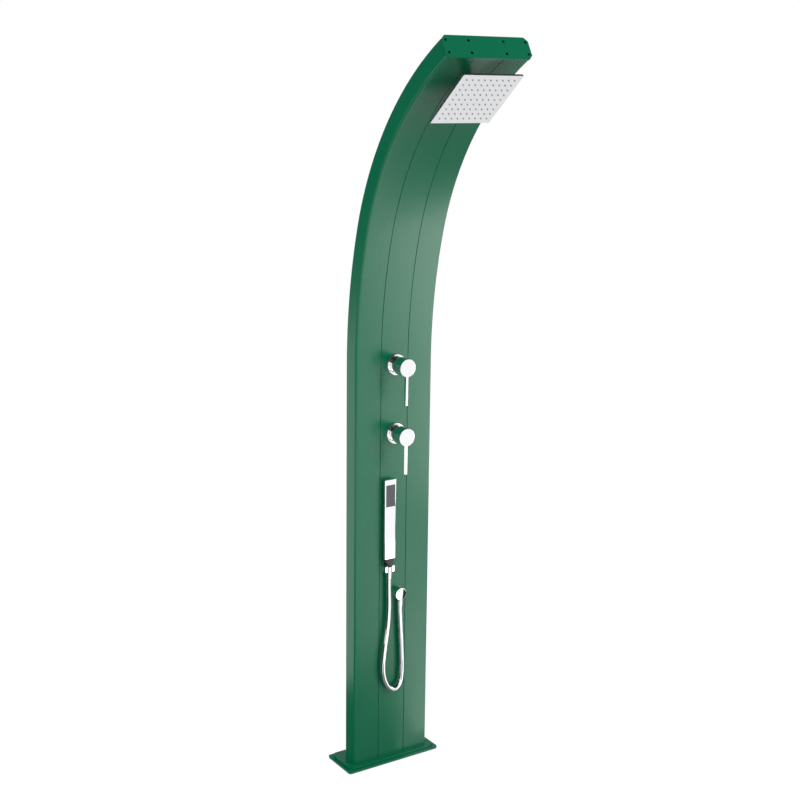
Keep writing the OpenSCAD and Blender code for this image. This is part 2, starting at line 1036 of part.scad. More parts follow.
// Slim nut of the hose, screwed on the outlet's nipple
module outlet_hose_nut() {
    color(chrome)
        translate([outlet_x, handset_y, nipple_low])
            difference() {
                union() {
                    cylinder(r1 = hose_nut_r - 1, r2 = hose_nut_r, h = 2);
                    disc(hose_nut_r, 2, 18);
                }
                disc(hose_nut_r - 2 + run_gap, 8, 18 + cut);
                disc(pipe_r - pipe_wall, -cut, 9);
            }
}

// Hose: a round tube swept along its route, its two end faces level

function route_point(i) = [hose_points[i][0], handset_y, cone_low + hose_points[i][1]];

function route_dir(i) =
    i == 0 || i == len(hose_points) - 1
        ? [0, i == 0 ? -1 : 1]
        : (hose_points[i + 1] - hose_points[i - 1]) / norm(hose_points[i + 1] - hose_points[i - 1]);

function hose_ring(i) = [
    for (k = [0 : hose_sides - 1])
        let (a = 360 * k / hose_sides, d = route_dir(i))
            route_point(i) + hose_r * [cos(a) * d[1], sin(a), -cos(a) * d[0]]
];

module hose() {
    n = hose_sides;
    last = len(hose_points) - 1;
    points = [for (i = [0 : last]) each hose_ring(i)];
    walls = [
        for (i = [0 : last - 1], k = [0 : n - 1], half = [0, 1])
            let (a = i * n + k, b = i * n + (k + 1) % n)
                half == 0 ? [a, b, b + n] : [a, b + n, a + n]
    ];
    first_cap = [for (k = [1 : n - 2]) [0, k + 1, k]];
    last_cap = [for (k = [1 : n - 2]) [last * n, last * n + k, last * n + k + 1]];
    color(chrome)
        polyhedron(points = points, faces = concat(walls, first_cap, last_cap));
}

// Handset and its holder

module at_handset(z) {
    translate([handset_x, handset_y, z])
        children();
}

module handset_hose_nut() {
    color(chrome)
        at_handset(cone_low)
            difference() {
                cylinder(r1 = cone_low_r, r2 = cone_top_r, h = cone_l);
                disc(pipe_r - pipe_wall, -cut, cone_l + cut);
            }
}

// Loft from the round nut to the flat body
module handset_neck() {
    color(black)
        hull() {
            at_handset(cone_top)
                cylinder(r = cone_top_r - 1, h = 1, $fn = 32);
            at_handset(handset_z - 1)
                translate([0, 0, 0.5])
                    cube([handset_w - 3, handset_t - 1.5, 1], center = true);
        }
}

module handset_body() {
    half_w = handset_w / 2;
    half_t = handset_t / 2;
    skin = 2;
    spray_z = handset_l - spray_top - spray_l;
    color(chrome)
        at_handset(handset_z)
            difference() {
                intersection() {
                    linear_extrude(handset_l)
                        rounded_rect(-half_w, -half_t, half_w, half_t, 3);
                    rotate([90, 0, 0])
                        linear_extrude(handset_t + 2 * cut, center = true)
                            rounded_rect(-half_w, 0, half_w, handset_l, 3);
                }
                translate([-half_w + skin, -half_t + 2 * skin, -cut])
                    cube([handset_w - 2 * skin, handset_t - 3 * skin, handset_l - skin * 2 + cut]);
                translate([-spray_w / 2, -half_t - cut, spray_z])
                    cube([spray_w, skin + cut, spray_l]);
            }
}

module handset_spray_face() {
    half_t = handset_t / 2;
    pitch = 6;
    color(rubber)
        at_handset(handset_z + handset_l - spray_top - spray_l / 2) {
            translate([-spray_w / 2 + run_gap, -half_t + 0.2, -spray_l / 2 + run_gap])
                cube([spray_w - 2 * run_gap, 1.8, spray_l - 2 * run_gap]);
            for (x = [-2 : 2], z = [-5 : 5])
                translate([x * pitch, -half_t + 0.3, z * pitch])
                    rotate([90, 0, 0])
                        cylinder(r1 = 1.3, r2 = 0.9, h = 1.2);
        }
}

// Fork that takes the conical nut, open at the front for the hose
module handset_holder() {
    fork_low = fork_top - fork_h;
    taper = (cone_top_r - cone_low_r) / cone_l;
    low_r = cone_low_r + taper * (fork_low - cone_low) + slide_gap;
    front = handset_off + 7;
    color(chrome)
        difference() {
            union() {
                on_front(handset_x, fork_low + fork_h / 2)
                    linear_extrude(front)
                        rounded_rect(-fork_w / 2, -fork_h / 2, fork_w / 2, fork_h / 2, 4);
                on_front(handset_x, 0)
                    linear_extrude(holder_plate)
                        rounded_rect(-12, fork_low + 4, 12, handset_z, 4);
            }
            at_handset(fork_low - cut)
                cylinder(r1 = low_r - taper * cut, r2 = low_r + taper * (fork_h + cut),
                    h = fork_h + 2 * cut);
            at_handset(fork_low - cut)
                translate([-hose_r - 1, -handset_off * 2, 0])
                    cube([2 * hose_r + 2, handset_off * 2, fork_h + 2 * cut]);
            on_front(handset_x, holder_screw_z) {
                disc(holder_screw_r + screw_gap, -cut, holder_plate + cut);
                holder_screw_head(screw_gap);
            }
        }
}

module holder_screw_head(grow) {
    r = holder_screw_r + grow;
    translate([0, 0, holder_plate - 1.3])
        cylinder(r1 = r, r2 = r + 1.3, h = 1.3);
}

module holder_screw() {
    color(steel)
        on_front(handset_x, holder_screw_z) {
            disc(holder_screw_r, -wall - 4, holder_plate);
            holder_screw_head(0);
        }
}

// Rain head and its arm

module head_elbow() {
    color(brass)
        on_bend(arm_a)
            difference() {
                translate([-elbow_half, wall + curve_gap, -elbow_half])
                    cube([2 * elbow_half + control_x, riser_depth + 8 - wall, 2 * elbow_half]);
                rotate([-90, 0, 0]) {
                    disc(arm_r + run_gap, 0, 20);
                    disc(pipe_r - pipe_wall, 0, riser_depth + 2);
                }
                translate([control_x, riser_depth, -elbow_half - cut]) {
                    cylinder(r = pipe_r + slide_gap, h = elbow_half - 6 + cut);
                    cylinder(r = pipe_r - pipe_wall, h = elbow_half + cut);
                }
            }
}

module head_arm() {
    color(chrome)
        on_arm()
            difference() {
                union() {
                    disc(arm_r, -19, ball_off - cavity_r + 1);
                    disc(arm_r + 6, curve_gap, curve_gap + 4);
                }
                disc(arm_r - 2.5, -20, ball_off);
            }
}

// Screwed on the arm; holds gasket, seat ring and ball, with a flared mouth for the tilt
module head_collar() {
    low = ball_off - cavity_r - 6;
    color(chrome)
        on_arm()
            difference() {
                union() {
                    disc(collar_r, low, collar_front - 2);
                    translate([0, 0, collar_front - 2])
                        cylinder(r1 = collar_r, r2 = collar_r - 2, h = 2);
                }
                disc(arm_r + run_gap, low - cut, ball_off);
                disc(cavity_r + run_gap, ball_off - cavity_r + 1, collar_front - 2);
                translate([0, 0, collar_front - 2 - 0.01])
                    cylinder(r1 = stem_r + 3, r2 = stem_r + 4.1, h = 2.02);
            }
}

module head_gasket() {
    color(rubber)
        on_arm()
            ring(cavity_r - run_gap, 6.5, ball_off - cavity_r + 1 + run_gap, ball_off - 9);
}

module head_seat_ring() {
    high = collar_front - 2 - run_gap;
    color(black)
        on_arm()
            difference() {
                disc(cavity_r, ball_off - 9 + run_gap, high);
                translate([0, 0, ball_off])
                    sphere(r = ball_r + run_gap);
                disc(6.5, ball_off - 10, ball_off);
                disc(stem_r + 3, ball_off + 6, high + cut);
            }
}

module head_ball() {
    color(chrome)
        on_head()
            difference() {
                union() {
                    sphere(r = ball_r);
                    disc(stem_r, 0, shell_back - 3);
                }
                disc(water_r, -ball_r - cut, shell_back);
            }
}

module head_square(half, r, z0, z1) {
    translate([0, 0, z0])
        linear_extrude(z1 - z0)
            rounded_rect(-half, -half, half, half, r);
}

module head_back_shell() {
    hub_r = 15;
    color(chrome)
        on_head()
            difference() {
                union() {
                    head_square(head_s / 2, 3, shell_back, face_back);
                    translate([0, 0, hub_top])
                        cylinder(r1 = hub_r, r2 = 2 * hub_r, h = shell_back - hub_top + 0.01);
                }
                head_square(head_s / 2 - 6, 3, face_back - 2, face_back + cut);
                disc(stem_r, hub_top - cut, shell_back - 3);
                disc(water_r, hub_top, face_back);
            }
}

module nozzle_grid() {
    from = -(nozzle_n - 1) / 2;
    for (i = [0 : nozzle_n - 1], k = [0 : nozzle_n - 1])
        translate([(from + i) * nozzle_pitch, (from + k) * nozzle_pitch, 0])
            children();
}

module head_nozzle_mat() {
    color(rubber)
        on_head() {
            head_square(head_s / 2 - 6.5, 3, face_back - 1.2, face_back);
            nozzle_grid()
                translate([0, 0, face_back - 0.5])
                    cylinder(r1 = nozzle_r + 0.3, r2 = nozzle_r - 0.7, h = face_t + nozzle_l + 0.5,
                        $fn = 24);
        }
}

module head_face_plate() {
    color(chrome)
        on_head()
            difference() {
                head_square(head_s / 2, 3, face_back, head_reach);
                nozzle_grid()
                    disc(nozzle_r + 0.35, face_back - cut, head_reach + cut);
            }
}

floor_plate();
foot_plate();
left_upright();
right_upright();
upright_screws();
left_side_profile();
right_side_profile();
front_panel();
rear_panel();
end_cap();
end_cap_screws();
mixer_body();
mixer_cartridge();
mixer_nut();
mixer_cup();
mixer_turret();
mixer_rocker();
mixer_knob();
mixer_lever();
diverter_body();
diverter_cartridge();
diverter_nut();
diverter_cup();
diverter_spindle();
diverter_knob();
diverter_lever();
cold_inlet();
hot_inlet();
cold_pipe();
hot_pipe();
mixed_pipe();
riser_pipe();
feed_pipe();
hose_outlet();
outlet_gasket();
outlet_elbow();
outlet_hose_nut();
hose();
handset_hose_nut();
handset_neck();
handset_body();
handset_spray_face();
handset_holder();
holder_screw();
head_elbow();
head_arm();
head_collar();
head_gasket();
head_seat_ring();
head_ball();
head_back_shell();
head_nozzle_mat();
head_face_plate();
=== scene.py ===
import json
import math

import bmesh
import bpy
from mathutils import Matrix, Vector


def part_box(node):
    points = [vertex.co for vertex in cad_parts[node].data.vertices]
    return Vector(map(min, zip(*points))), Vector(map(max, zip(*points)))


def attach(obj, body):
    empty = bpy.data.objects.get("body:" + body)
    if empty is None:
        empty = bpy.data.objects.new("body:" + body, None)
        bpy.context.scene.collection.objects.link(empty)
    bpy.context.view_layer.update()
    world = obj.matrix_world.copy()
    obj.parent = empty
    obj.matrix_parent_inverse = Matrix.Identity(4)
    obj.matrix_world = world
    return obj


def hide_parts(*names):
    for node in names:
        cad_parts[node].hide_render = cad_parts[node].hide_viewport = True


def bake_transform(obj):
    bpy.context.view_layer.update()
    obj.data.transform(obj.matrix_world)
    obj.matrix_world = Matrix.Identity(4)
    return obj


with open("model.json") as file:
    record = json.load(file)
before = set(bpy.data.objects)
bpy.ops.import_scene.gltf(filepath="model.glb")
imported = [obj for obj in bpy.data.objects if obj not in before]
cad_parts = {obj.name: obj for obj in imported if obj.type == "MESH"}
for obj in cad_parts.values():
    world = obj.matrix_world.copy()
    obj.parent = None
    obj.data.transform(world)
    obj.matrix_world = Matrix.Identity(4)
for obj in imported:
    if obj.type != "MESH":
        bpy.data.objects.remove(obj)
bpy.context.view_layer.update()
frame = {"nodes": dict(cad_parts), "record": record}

# Outdoor shower post: two bent aluminium profiles with channel panels on a stepped foot, with a
# mixer, a diverter, a square rain head and a stick handset on a hose. Metres, in the part's own
# frame: origin under the middle of the floor plate, front towards -Y, up +Z.

bl_info = {
    "name": "Outdoor Shower Post",
    "version": (1, 0, 0),
    "blender": (4, 5, 0),
    "location": "3D View > Sidebar > Shower Post",
    "description": "Builds the pieces, finishes and studio of an outdoor shower post",
    "category": "Add Mesh",
}


def linear(code):
    """Linear colour of an sRGB hex value such as #00704c."""
    parts = [int(code[i:i + 2], 16) / 255 for i in (1, 3, 5)]
    return tuple(p / 12.92 if p <= 0.04045 else ((p + 0.055) / 1.055) ** 2.4 for p in parts)


def size(name, description, default):
    """A length in metres that a user may change."""
    return bpy.props.FloatProperty(
        name=name, description=description, default=default, min=0.0, precision=4,
        unit="LENGTH", subtype="DISTANCE")


def place(name, description, default):
    """A coordinate in metres, which may lie on either side of the origin."""
    return bpy.props.FloatProperty(
        name=name, description=description, default=default, precision=4,
        unit="LENGTH", subtype="DISTANCE")


def turn(name, description, degrees):
    """An angle, given in degrees and kept in radians."""
    return bpy.props.FloatProperty(
        name=name, description=description, default=math.radians(degrees), unit="ROTATION",
        subtype="ANGLE")


def share(name, description, default):
    """A number from nought to one."""
    return bpy.props.FloatProperty(
        name=name, description=description, default=default, min=0.0, max=1.0, subtype="FACTOR")


def paint(name, description, code):
    """A colour, given as an sRGB hex value and kept linear."""
    return bpy.props.FloatVectorProperty(
        name=name, description=description, default=linear(code), size=3, min=0.0, max=1.0,
        subtype="COLOR")


def middle(node):
    low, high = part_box(node)
    return (low + high) / 2


MIXER = middle("mixer_cup")
DIVERTER = middle("diverter_cup")
OUTLET_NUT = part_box("outlet_hose_nut")
CONE_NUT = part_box("handset_hose_nut")

# Radii of small edges in metres, from a corner left sharp to a fillet
SHARP, BROKEN, FINE, CRISP = 0.0, 0.0003, 0.0004, 0.0005
LIGHT, SOFT, ROUND, FILLET = 0.0006, 0.0008, 0.001, 0.0012

# Points closer than this, in metres, are one point
WELD = 1e-7


# Sizes and colours that a user would change

class PostSizes(bpy.types.PropertyGroup):
    width: size("Width", "Width across both side profiles", 0.280)
    depth: size("Depth", "Depth from the front face to the back face", 0.060)
    straight: size("Straight height", "Height at which the bend starts", 1.335)
    lower_radius: size("Lower bend radius", "Radius of the gentle bend at the front face", 1.500)
    lower_angle: turn("Lower bend", "Angle of the gentle bend", 15.5)
    upper_radius: size("Upper bend radius", "Radius of the tight bend at the front face", 0.845)
    upper_angle: turn("Upper bend", "Angle of the tight bend", 44.8)
    channel: size("Channel", "Width of the channel between the profiles", 0.100)
    wall: size("Wall", "Wall thickness of the extrusions", 0.0025)
    corner: size("Corner radius", "Radius of the long outer edges", 0.008)
    seam: size("Seam", "Gap on each side of a channel panel", 0.0016)
    seam_edge: size("Seam edge", "Radius of the edges along a seam", 0.0005)
    leg: size("Clip leg", "Depth of a panel's clip legs", 0.012)
    leg_wall: size("Clip leg wall", "Wall thickness of a panel's clip legs", 0.002)
    panel_stop: size("Panel stop", "Distance of a panel's upper end from the end cap", 0.018)
    face_y: place("Front face", "Place of the front face", -0.045)
    foot_top: size("Foot top", "Height of the foot's upper side", 0.0145)


class FootSizes(bpy.types.PropertyGroup):
    edge: size("Edge", "Radius of the two plates' edges", 0.0024)


class CapSizes(bpy.types.PropertyGroup):
    edge: size("Edge", "Radius of the cap's edges", 0.0008)
    thickness: size("Thickness", "Thickness of the cap", 0.006)
    screw_inner: size("Inner screws", "Sideways place of the inner screws", 0.058)
    screw_outer: size("Outer screws", "Sideways place of the outer screws", 0.1325)
    screw_depth: size("Screw depth", "Distance of the screws from front and back", 0.0115)
    head_radius: size("Head radius", "Radius of a screw's head", 0.0042)
    shank_radius: size("Shank radius", "Radius of a screw's shank", 0.0021)
    shank_length: size("Shank length", "Length of a screw", 0.016)
    socket_radius: size("Socket radius", "Radius of the hexagon socket", 0.0013)
    socket_depth: size("Socket depth", "Depth of the hexagon socket", 0.0015)


class ControlSizes(bpy.types.PropertyGroup):
    cup_radius: size("Cup radius", "Radius of the round cup", 0.033)
    cup_sleeve: size("Sleeve radius", "Radius of the cup's sleeve on its flange", 0.0255)
    cup_neck: size("Neck radius", "Radius of the sleeve inside a lifted knob", 0.021)
    cup_collar: size("Collar", "Distance of the wide sleeve's front from the panel", 0.0192)
    cup_flange: size("Flange", "Distance of the flange's front from the panel", 0.0070)
    cup_low: size("Cup seat", "Distance of the cup's base from the panel", 0.0004)
    cup_length: size("Cup length", "Length of the round cup", 0.028)
    cup_wall: size("Cup wall", "Wall thickness of the cup", 0.0012)
    cup_hole: size("Cup hole", "Radius of the hole for the valve's neck", 0.0173)
    knob_radius: size("Knob radius", "Radius of a knob", 0.028)
    knob_back: size("Knob back", "Distance of a knob's rear edge from the panel", 0.0294)
    knob_front: size("Knob front", "Distance of a knob's face from the panel", 0.070)
    knob_ceiling: size("Knob ceiling", "Distance of the knob's inner face", 0.054)
    knob_wall: size("Knob wall", "Wall thickness of a knob's skirt", 0.003)
    lever_radius: size("Lever radius", "Radius of a pin lever", 0.006)
    lever_off: size("Lever place", "Distance of the lever's axis from the panel", 0.061)
    lever_reach: size("Lever reach", "Distance from the knob's axis to the lever's tip", 0.119)
    lever_sunk: size("Lever seat", "Depth of the lever's rod in the knob", 0.004)
    lever_root: size("Lever root", "Length of the lever's thin root", 0.008)
    edge: size("Edge", "Radius of the turned edges", 0.0008)


class HoseSizes(bpy.types.PropertyGroup):
    diameter: size("Diameter", "Diameter of the hose", 0.016)
    length: size("Length", "Real length of the hose between its nuts", 0.705)
    winding: size("Winding", "Pitch of the metal winding, drawn coarse", 0.0032)
    sides: bpy.props.IntProperty(
        name="Sides", description="Sides of the round tube", default=32, min=12, max=96)
    nut_radius: size("Nut radius", "Radius of the slim nut at the outlet", 0.0095)
    nut_length: size("Nut length", "Length of the slim nut", 0.018)


class OutletSizes(bpy.types.PropertyGroup):
    x: place("Sideways", "Sideways place of the outlet", 0.021)
    z: size("Height", "Height of the outlet's axis", 0.579)
    radius: size("Radius", "Radius of the round outlet", 0.020)
    front: size("Front", "Distance of the outlet's face from the panel", 0.021)
    nipple_radius: size("Nipple radius", "Radius of the nipple under it", 0.0075)
    nipple_low: size("Nipple start", "Height of the nipple's lower end in its nut", 0.008)
    edge: size("Edge", "Radius of the outlet's front edge", 0.0012)


class HandsetSizes(bpy.types.PropertyGroup):
    x: place("Sideways", "Sideways place of the handset", -0.022)
    off: size("Distance", "Distance of its centre line from the panel", 0.013)
    width: size("Width", "Width of the stick", 0.041)
    thickness: size("Thickness", "Thickness of the stick", 0.014)
    low: size("Lower end", "Height of the straight body's lower end", 0.707)
    length: size("Length", "Length of the straight body", 0.261)
    neck: size("Neck", "Length of the tapered neck", 0.027)
    neck_radius: size("Neck radius", "Radius of the neck at the conical nut", 0.0102)
    neck_side: size("Neck side step", "Step in from the stick's sides to the neck", 0.0015)
    neck_face: size("Neck face step", "Step in from the stick's faces to the neck", 0.0008)
    cone_low: size("Cone's lower radius", "Radius of the conical nut's lower end", 0.009)
    cone_top: size("Cone's upper radius", "Radius of the conical nut's upper end", 0.011)
    spray_top: size("Spray top", "Distance of the spray face from the top", 0.017)
    spray_length: size("Spray length", "Length of the spray face", 0.071)
    spray_width: size("Spray width", "Width of the spray face", 0.035)
    spray_depth: size("Spray depth", "Thickness of the rubber insert", 0.0018)
    spray_sunk: size("Spray seat", "Depth of the spray face below the stick's front", 0.0002)
    spray_gap: size("Spray gap", "Gap round the rubber insert", 0.0001)
    nozzle_pitch: size("Nozzle pitch", "Spacing of the spray nozzles", 0.006)
    nozzle_radius: size("Nozzle radius", "Radius of a nozzle at the spray face", 0.0013)
    nozzle_tip: size("Nozzle tip", "Radius of a nozzle's tip", 0.0009)
    nozzle_length: size("Nozzle length", "Length of a nozzle with its root", 0.0014)
    nozzle_root: size("Nozzle root", "Depth of a nozzle's root in the spray face", 0.0004)
    edge: size("Edge", "Radius of the chromed edges", 0.0006)


class HeadSizes(bpy.types.PropertyGroup):
    reach: size("Reach", "Distance from the ball to the spray side", 0.0344)
    plate: size("Plate", "Thickness of the face plate", 0.0025)
    arm_angle: turn("Arm place", "Angle along the bend at which the arm leaves", 52.8)
    ball_off: size("Ball distance", "Distance of the ball from the post's face", 0.027)
    lean: turn("Lean", "Lean of the head from its arm", -2.8)
    nozzles: bpy.props.IntProperty(
        name="Nozzles", description="Nozzles along one side", default=9, min=3, max=15)
    pitch: size("Pitch", "Spacing of the nozzles", 0.020)
    nozzle_radius: size("Nozzle radius", "Radius of a nozzle at the plate", 0.0025)
    nozzle_tip: size("Nozzle tip", "Radius of a nozzle's tip", 0.0015)
    nozzle_length: size("Nozzle length", "Length of a nozzle below the plate", 0.0026)
    edge: size("Edge", "Radius of the chromed edges", 0.0005)
    plate_edge: size("Plate edge", "Radius of the face plate's edges", 0.00025)


class Finishes(bpy.types.PropertyGroup):
    coat: paint("Powder coat", "Green of the powder coat", "#006e4c")
    coat_deep: paint("Powder coat, deep", "Green where the coat lies thicker", "#006947")
    coat_roughness: share("Coat roughness", "Roughness of the powder coat", 0.27)
    chrome: paint("Chrome", "Colour of the chrome plate", "#f4f5f6")
    chrome_roughness: share("Chrome roughness", "Roughness of the chrome plate", 0.03)
    hose: paint("Hose", "Colour of the chromed hose", "#eef0f1")
    silicone: paint("Nozzle silicone", "Grey of the rain head's nozzles", "#a9abad")
    insert: paint("Spray insert", "Grey of the handset's spray face", "#5b5c61")
    plastic: paint("Black plastic", "Black of the moulded plastic", "#222325")
    screw: paint("Black steel", "Black of the end cap's screws", "#0c0d0e")
    zinc: paint("Zinc", "Colour of the zinc-plated steel", "#b4b8bc")
    brass: paint("Brass", "Colour of the machined brass", "#c9a45a")
    copper: paint("Copper", "Colour of the copper tube", "#c07f5e")


class StudioSettings(bpy.types.PropertyGroup):
    camera: bpy.props.FloatVectorProperty(
        name="Camera", description="Place of the camera", default=(-2.2421, -3.4830, 2.1667),
        size=3, unit="LENGTH", subtype="TRANSLATION")
    yaw: turn("Yaw", "Turn of the camera from the front towards the right", 33.363)
    pitch: turn("Pitch", "Lift of the camera's view", -13.012)
    roll: turn("Roll", "Roll of the camera", 0.647)
    lens: bpy.props.FloatProperty(
        name="Lens", description="Focal length in millimetres on a 36 mm sensor", default=60.93,
        min=10.0)
    sky: bpy.props.FloatProperty(
        name="Studio light", description="Strength of the soft light from all sides", default=0.72,
        min=0.0)
    key: bpy.props.FloatProperty(
        name="Key lamp", description="Power of the large lamp at the front", default=60.0, min=0.0)
    top: bpy.props.FloatProperty(
        name="Top lamp", description="Power of the lamp overhead", default=20.0, min=0.0)
    left: bpy.props.FloatProperty(
        name="Left lamp", description="Power of the lamp at the left", default=27.0, min=0.0)


GROUPS = {
    "post_sizes": PostSizes, "foot_sizes": FootSizes, "cap_sizes": CapSizes,
    "control_sizes": ControlSizes, "hose_sizes": HoseSizes, "outlet_sizes": OutletSizes,
    "handset_sizes": HandsetSizes, "head_sizes": HeadSizes, "finishes": Finishes,
    "studio": StudioSettings,
}


# Node trees

# Sockets of a Mix node for colours, which share their names with its other kinds
MIX_FIRST, MIX_SECOND, MIX_RESULT = 6, 7, 2
# A Wave node of scale one has 20 rings in 2 pi metres, so this over a pitch gives that pitch
WAVE_SCALE = 0.314159


def add_node(tree, kind, inputs=None, **settings):
    """Adds a node with its settings; inputs holds a value or a linked output by socket."""
    made = tree.nodes.new(kind)
    for name, value in settings.items():
        setattr(made, name, value)
    for socket, value in (inputs or {}).items():
        if isinstance(value, bpy.types.NodeSocket):
            tree.links.new(value, made.inputs[socket])
        else:
            made.inputs[socket].default_value = value
    return made


def start_material(name, shader_values):
    """A material with a Principled shader; gives its tree, shader and Object coordinates."""
    material = bpy.data.materials.new(name)
    material.use_nodes = True
    tree = material.node_tree
    tree.nodes.clear()
    shader = add_node(tree, "ShaderNodeBsdfPrincipled", shader_values)
    add_node(tree, "ShaderNodeOutputMaterial", {"Surface": shader.outputs["BSDF"]})
    where = add_node(tree, "ShaderNodeTexCoord").outputs["Object"]
    return material, tree, shader, where


def rgba(colour, factor=1.0):
    return tuple(min(1.0, c * factor) for c in colour) + (1.0,)


def noise(tree, where, width, detail=1.0):
    """Cloudy pattern whose features are about that many metres wide."""
    return add_node(tree, "ShaderNodeTexNoise", {
        "Vector": where, "Scale": 1 / width, "Detail": detail}).outputs["Fac"]


def ranged(tree, value, low, high, top=1.0):
    """A value that runs from nought to the top, laid over the range from low to high."""
    return add_node(tree, "ShaderNodeMapRange", {
        "Value": value, "From Max": top, "To Min": low, "To Max": high}).outputs["Result"]


def tinted(tree, amount, first, second):
    """A colour that goes from the first to the second with the amount."""
    return add_node(tree, "ShaderNodeMix", {
        "Factor": amount, MIX_FIRST: first, MIX_SECOND: second},
        data_type="RGBA").outputs[MIX_RESULT]


def bumped(tree, height, strength, depth):
    """Surface relief from a pattern; the depth is in metres."""
    return add_node(tree, "ShaderNodeBump", {
        "Height": height, "Strength": strength, "Distance": depth}).outputs["Normal"]


def wire(tree, shader, tint, gloss, skin=None):
    """Links a finish's colour, roughness and relief to its shader."""
    for socket, output in (("Base Color", tint), ("Roughness", gloss), ("Normal", skin)):
        if output is not None:
            tree.links.new(output, shader.inputs[socket])


def green_powder_coat(look):
    # Polyester powder coat, sprayed on aluminium and baked: an even semi-gloss colour under a
    # clear binder, with the faint orange peel of the melt, whose waves are 2 to 3 mm long.
    material, tree, shader, where = start_material("green_powder_coat", {"IOR": 1.5})
    cloud = noise(tree, where, width=0.22, detail=2.0)
    peel = noise(tree, where, width=0.0025)
    spread = 0.03
    wire(tree, shader, tinted(tree, cloud, rgba(look.coat_deep), rgba(look.coat)),
         ranged(tree, cloud, look.coat_roughness - spread, look.coat_roughness + spread),
         bumped(tree, peel, strength=0.12, depth=0.0002))
    return material


def chrome_plate(look):
    # Bright nickel and chrome on polished brass: a cool mirror, with the slow waves of hand
    # polishing about 30 mm apart and dried water spots of about 4 mm that dull it very slightly.
    material, tree, shader, where = start_material("chrome_plate", {"Metallic": 1.0})
    wave = noise(tree, where, width=0.03)
    spot = add_node(tree, "ShaderNodeTexVoronoi", {
        "Vector": where, "Scale": 1 / 0.004}).outputs["Distance"]
    dulled = look.chrome_roughness + 0.035
    wire(tree, shader, tinted(tree, wave, rgba(look.chrome, 0.97), rgba(look.chrome, 1.03)),
         ranged(tree, spot, low=dulled, high=look.chrome_roughness, top=0.35),
         bumped(tree, wave, strength=0.02, depth=0.0005))
    return material


def chromed_hose(look, sizes):
    # Chromed metal winding under a clear sleeve: a bright tube with rings all along it. The real
    # rings are about 1.5 mm apart. These have the sizes' coarser pitch, or they wouldn't show.
    material, tree, shader, _ = start_material("chromed_hose", {
        "Metallic": 1.0, "Coat Weight": 0.4, "Coat Roughness": 0.08})
    along = add_node(tree, "ShaderNodeUVMap", uv_map="route").outputs["UV"]
    rings = add_node(tree, "ShaderNodeTexWave", {
        "Vector": along, "Scale": WAVE_SCALE / sizes.winding, "Distortion": 0.0},
        bands_direction="Y", wave_profile="SIN").outputs["Fac"]
    # The rings are darker in their troughs: painted shade in the grooves between the winding's
    # turns.
    wire(tree, shader, tinted(tree, rings, rgba(look.hose, 0.85), rgba(look.hose)),
         ranged(tree, rings, low=0.06, high=0.03),
         bumped(tree, rings, strength=0.005, depth=0.0003))
    return material


def moulded_silicone(name, colour):
    # Liquid silicone rubber from a polished mould: soft and matt, with a fine bloom of mould
    # dust and a grain of about 0.6 mm from the tool.
    material, tree, shader, where = start_material(name, {
        "IOR": 1.43, "Sheen Weight": 0.1, "Sheen Roughness": 0.4})
    bloom = noise(tree, where, width=0.008, detail=3.0)
    grain = noise(tree, where, width=0.0006)
    wire(tree, shader, tinted(tree, bloom, rgba(colour, 0.9), rgba(colour, 1.1)),
         ranged(tree, bloom, low=0.5, high=0.62),
         bumped(tree, grain, strength=0.15, depth=0.0001))
    return material


def black_acetal(look):
    # Injection moulded acetal: a waxy black with a fine spark-eroded texture of about 0.4 mm.
    material, tree, shader, where = start_material("black_acetal", {"IOR": 1.48})
    grain = noise(tree, where, width=0.0004, detail=2.0)
    haze = noise(tree, where, width=0.012, detail=2.0)
    wire(tree, shader, tinted(tree, haze, rgba(look.plastic, 0.85), rgba(look.plastic, 1.2)),
         ranged(tree, haze, low=0.34, high=0.44),
         bumped(tree, grain, strength=0.15, depth=0.00008))
    return material


def worked_metal(name, colour, grain_width, roughness, stretch=(1, 1, 1)):
    # Metal as it leaves the machine: its grain runs the way it was turned, drawn or plated, and
    # the roughness follows the grain.
    material, tree, shader, where = start_material(name, {"Metallic": 1.0})
    pulled = add_node(tree, "ShaderNodeMapping", {
        "Vector": where, "Scale": stretch}).outputs["Vector"]
    grain = noise(tree, pulled, grain_width, detail=3.0)
    tarnish = noise(tree, where, width=0.02, detail=2.0)
    wire(tree, shader, tinted(tree, tarnish, rgba(colour, 0.82), rgba(colour, 1.08)),
         ranged(tree, grain, roughness - 0.07, roughness + 0.09),
         bumped(tree, grain, strength=0.15, depth=0.0001))
    return material


def black_oxide_steel(look):
    # Stainless screw, blackened in a hot bath: dark, with a dull oily gloss in small patches.
    material, tree, shader, where = start_material("black_oxide_steel", {"Metallic": 0.35})
    wear = noise(tree, where, width=0.0015, detail=2.0)
    wire(tree, shader, tinted(tree, wear, rgba(look.screw, 0.7), rgba(look.screw, 1.6)),
         ranged(tree, wear, low=0.38, high=0.55))
    return material


FINISHES = {}


def finish(name):
    """The material of that name, made on first use."""
    if name not in FINISHES:
        look = bpy.context.scene.finishes
        makers = {
            "powder_coat": lambda: green_powder_coat(look),
            "chrome": lambda: chrome_plate(look),
            "hose": lambda: chromed_hose(look, bpy.context.scene.hose_sizes),
            "silicone": lambda: moulded_silicone("grey_silicone", look.silicone),
            "insert": lambda: moulded_silicone("dark_silicone", look.insert),
            "acetal": lambda: black_acetal(look),
            "screw": lambda: black_oxide_steel(look),
            "zinc": lambda: worked_metal("zinc_plated_steel", look.zinc, 0.006, 0.38),
            "brass": lambda: worked_metal("turned_brass", look.brass, 0.0012, 0.28, (1, 8, 1)),
            "copper": lambda: worked_metal(
                "drawn_copper", look.copper, 0.0015, 0.3, (1, 1, 0.05)),
        }
        FINISHES[name] = makers[name]()
    return FINISHES[name]


# Shapes

# The most of a side that the rounding at one of its ends may take
SHARE = 0.49
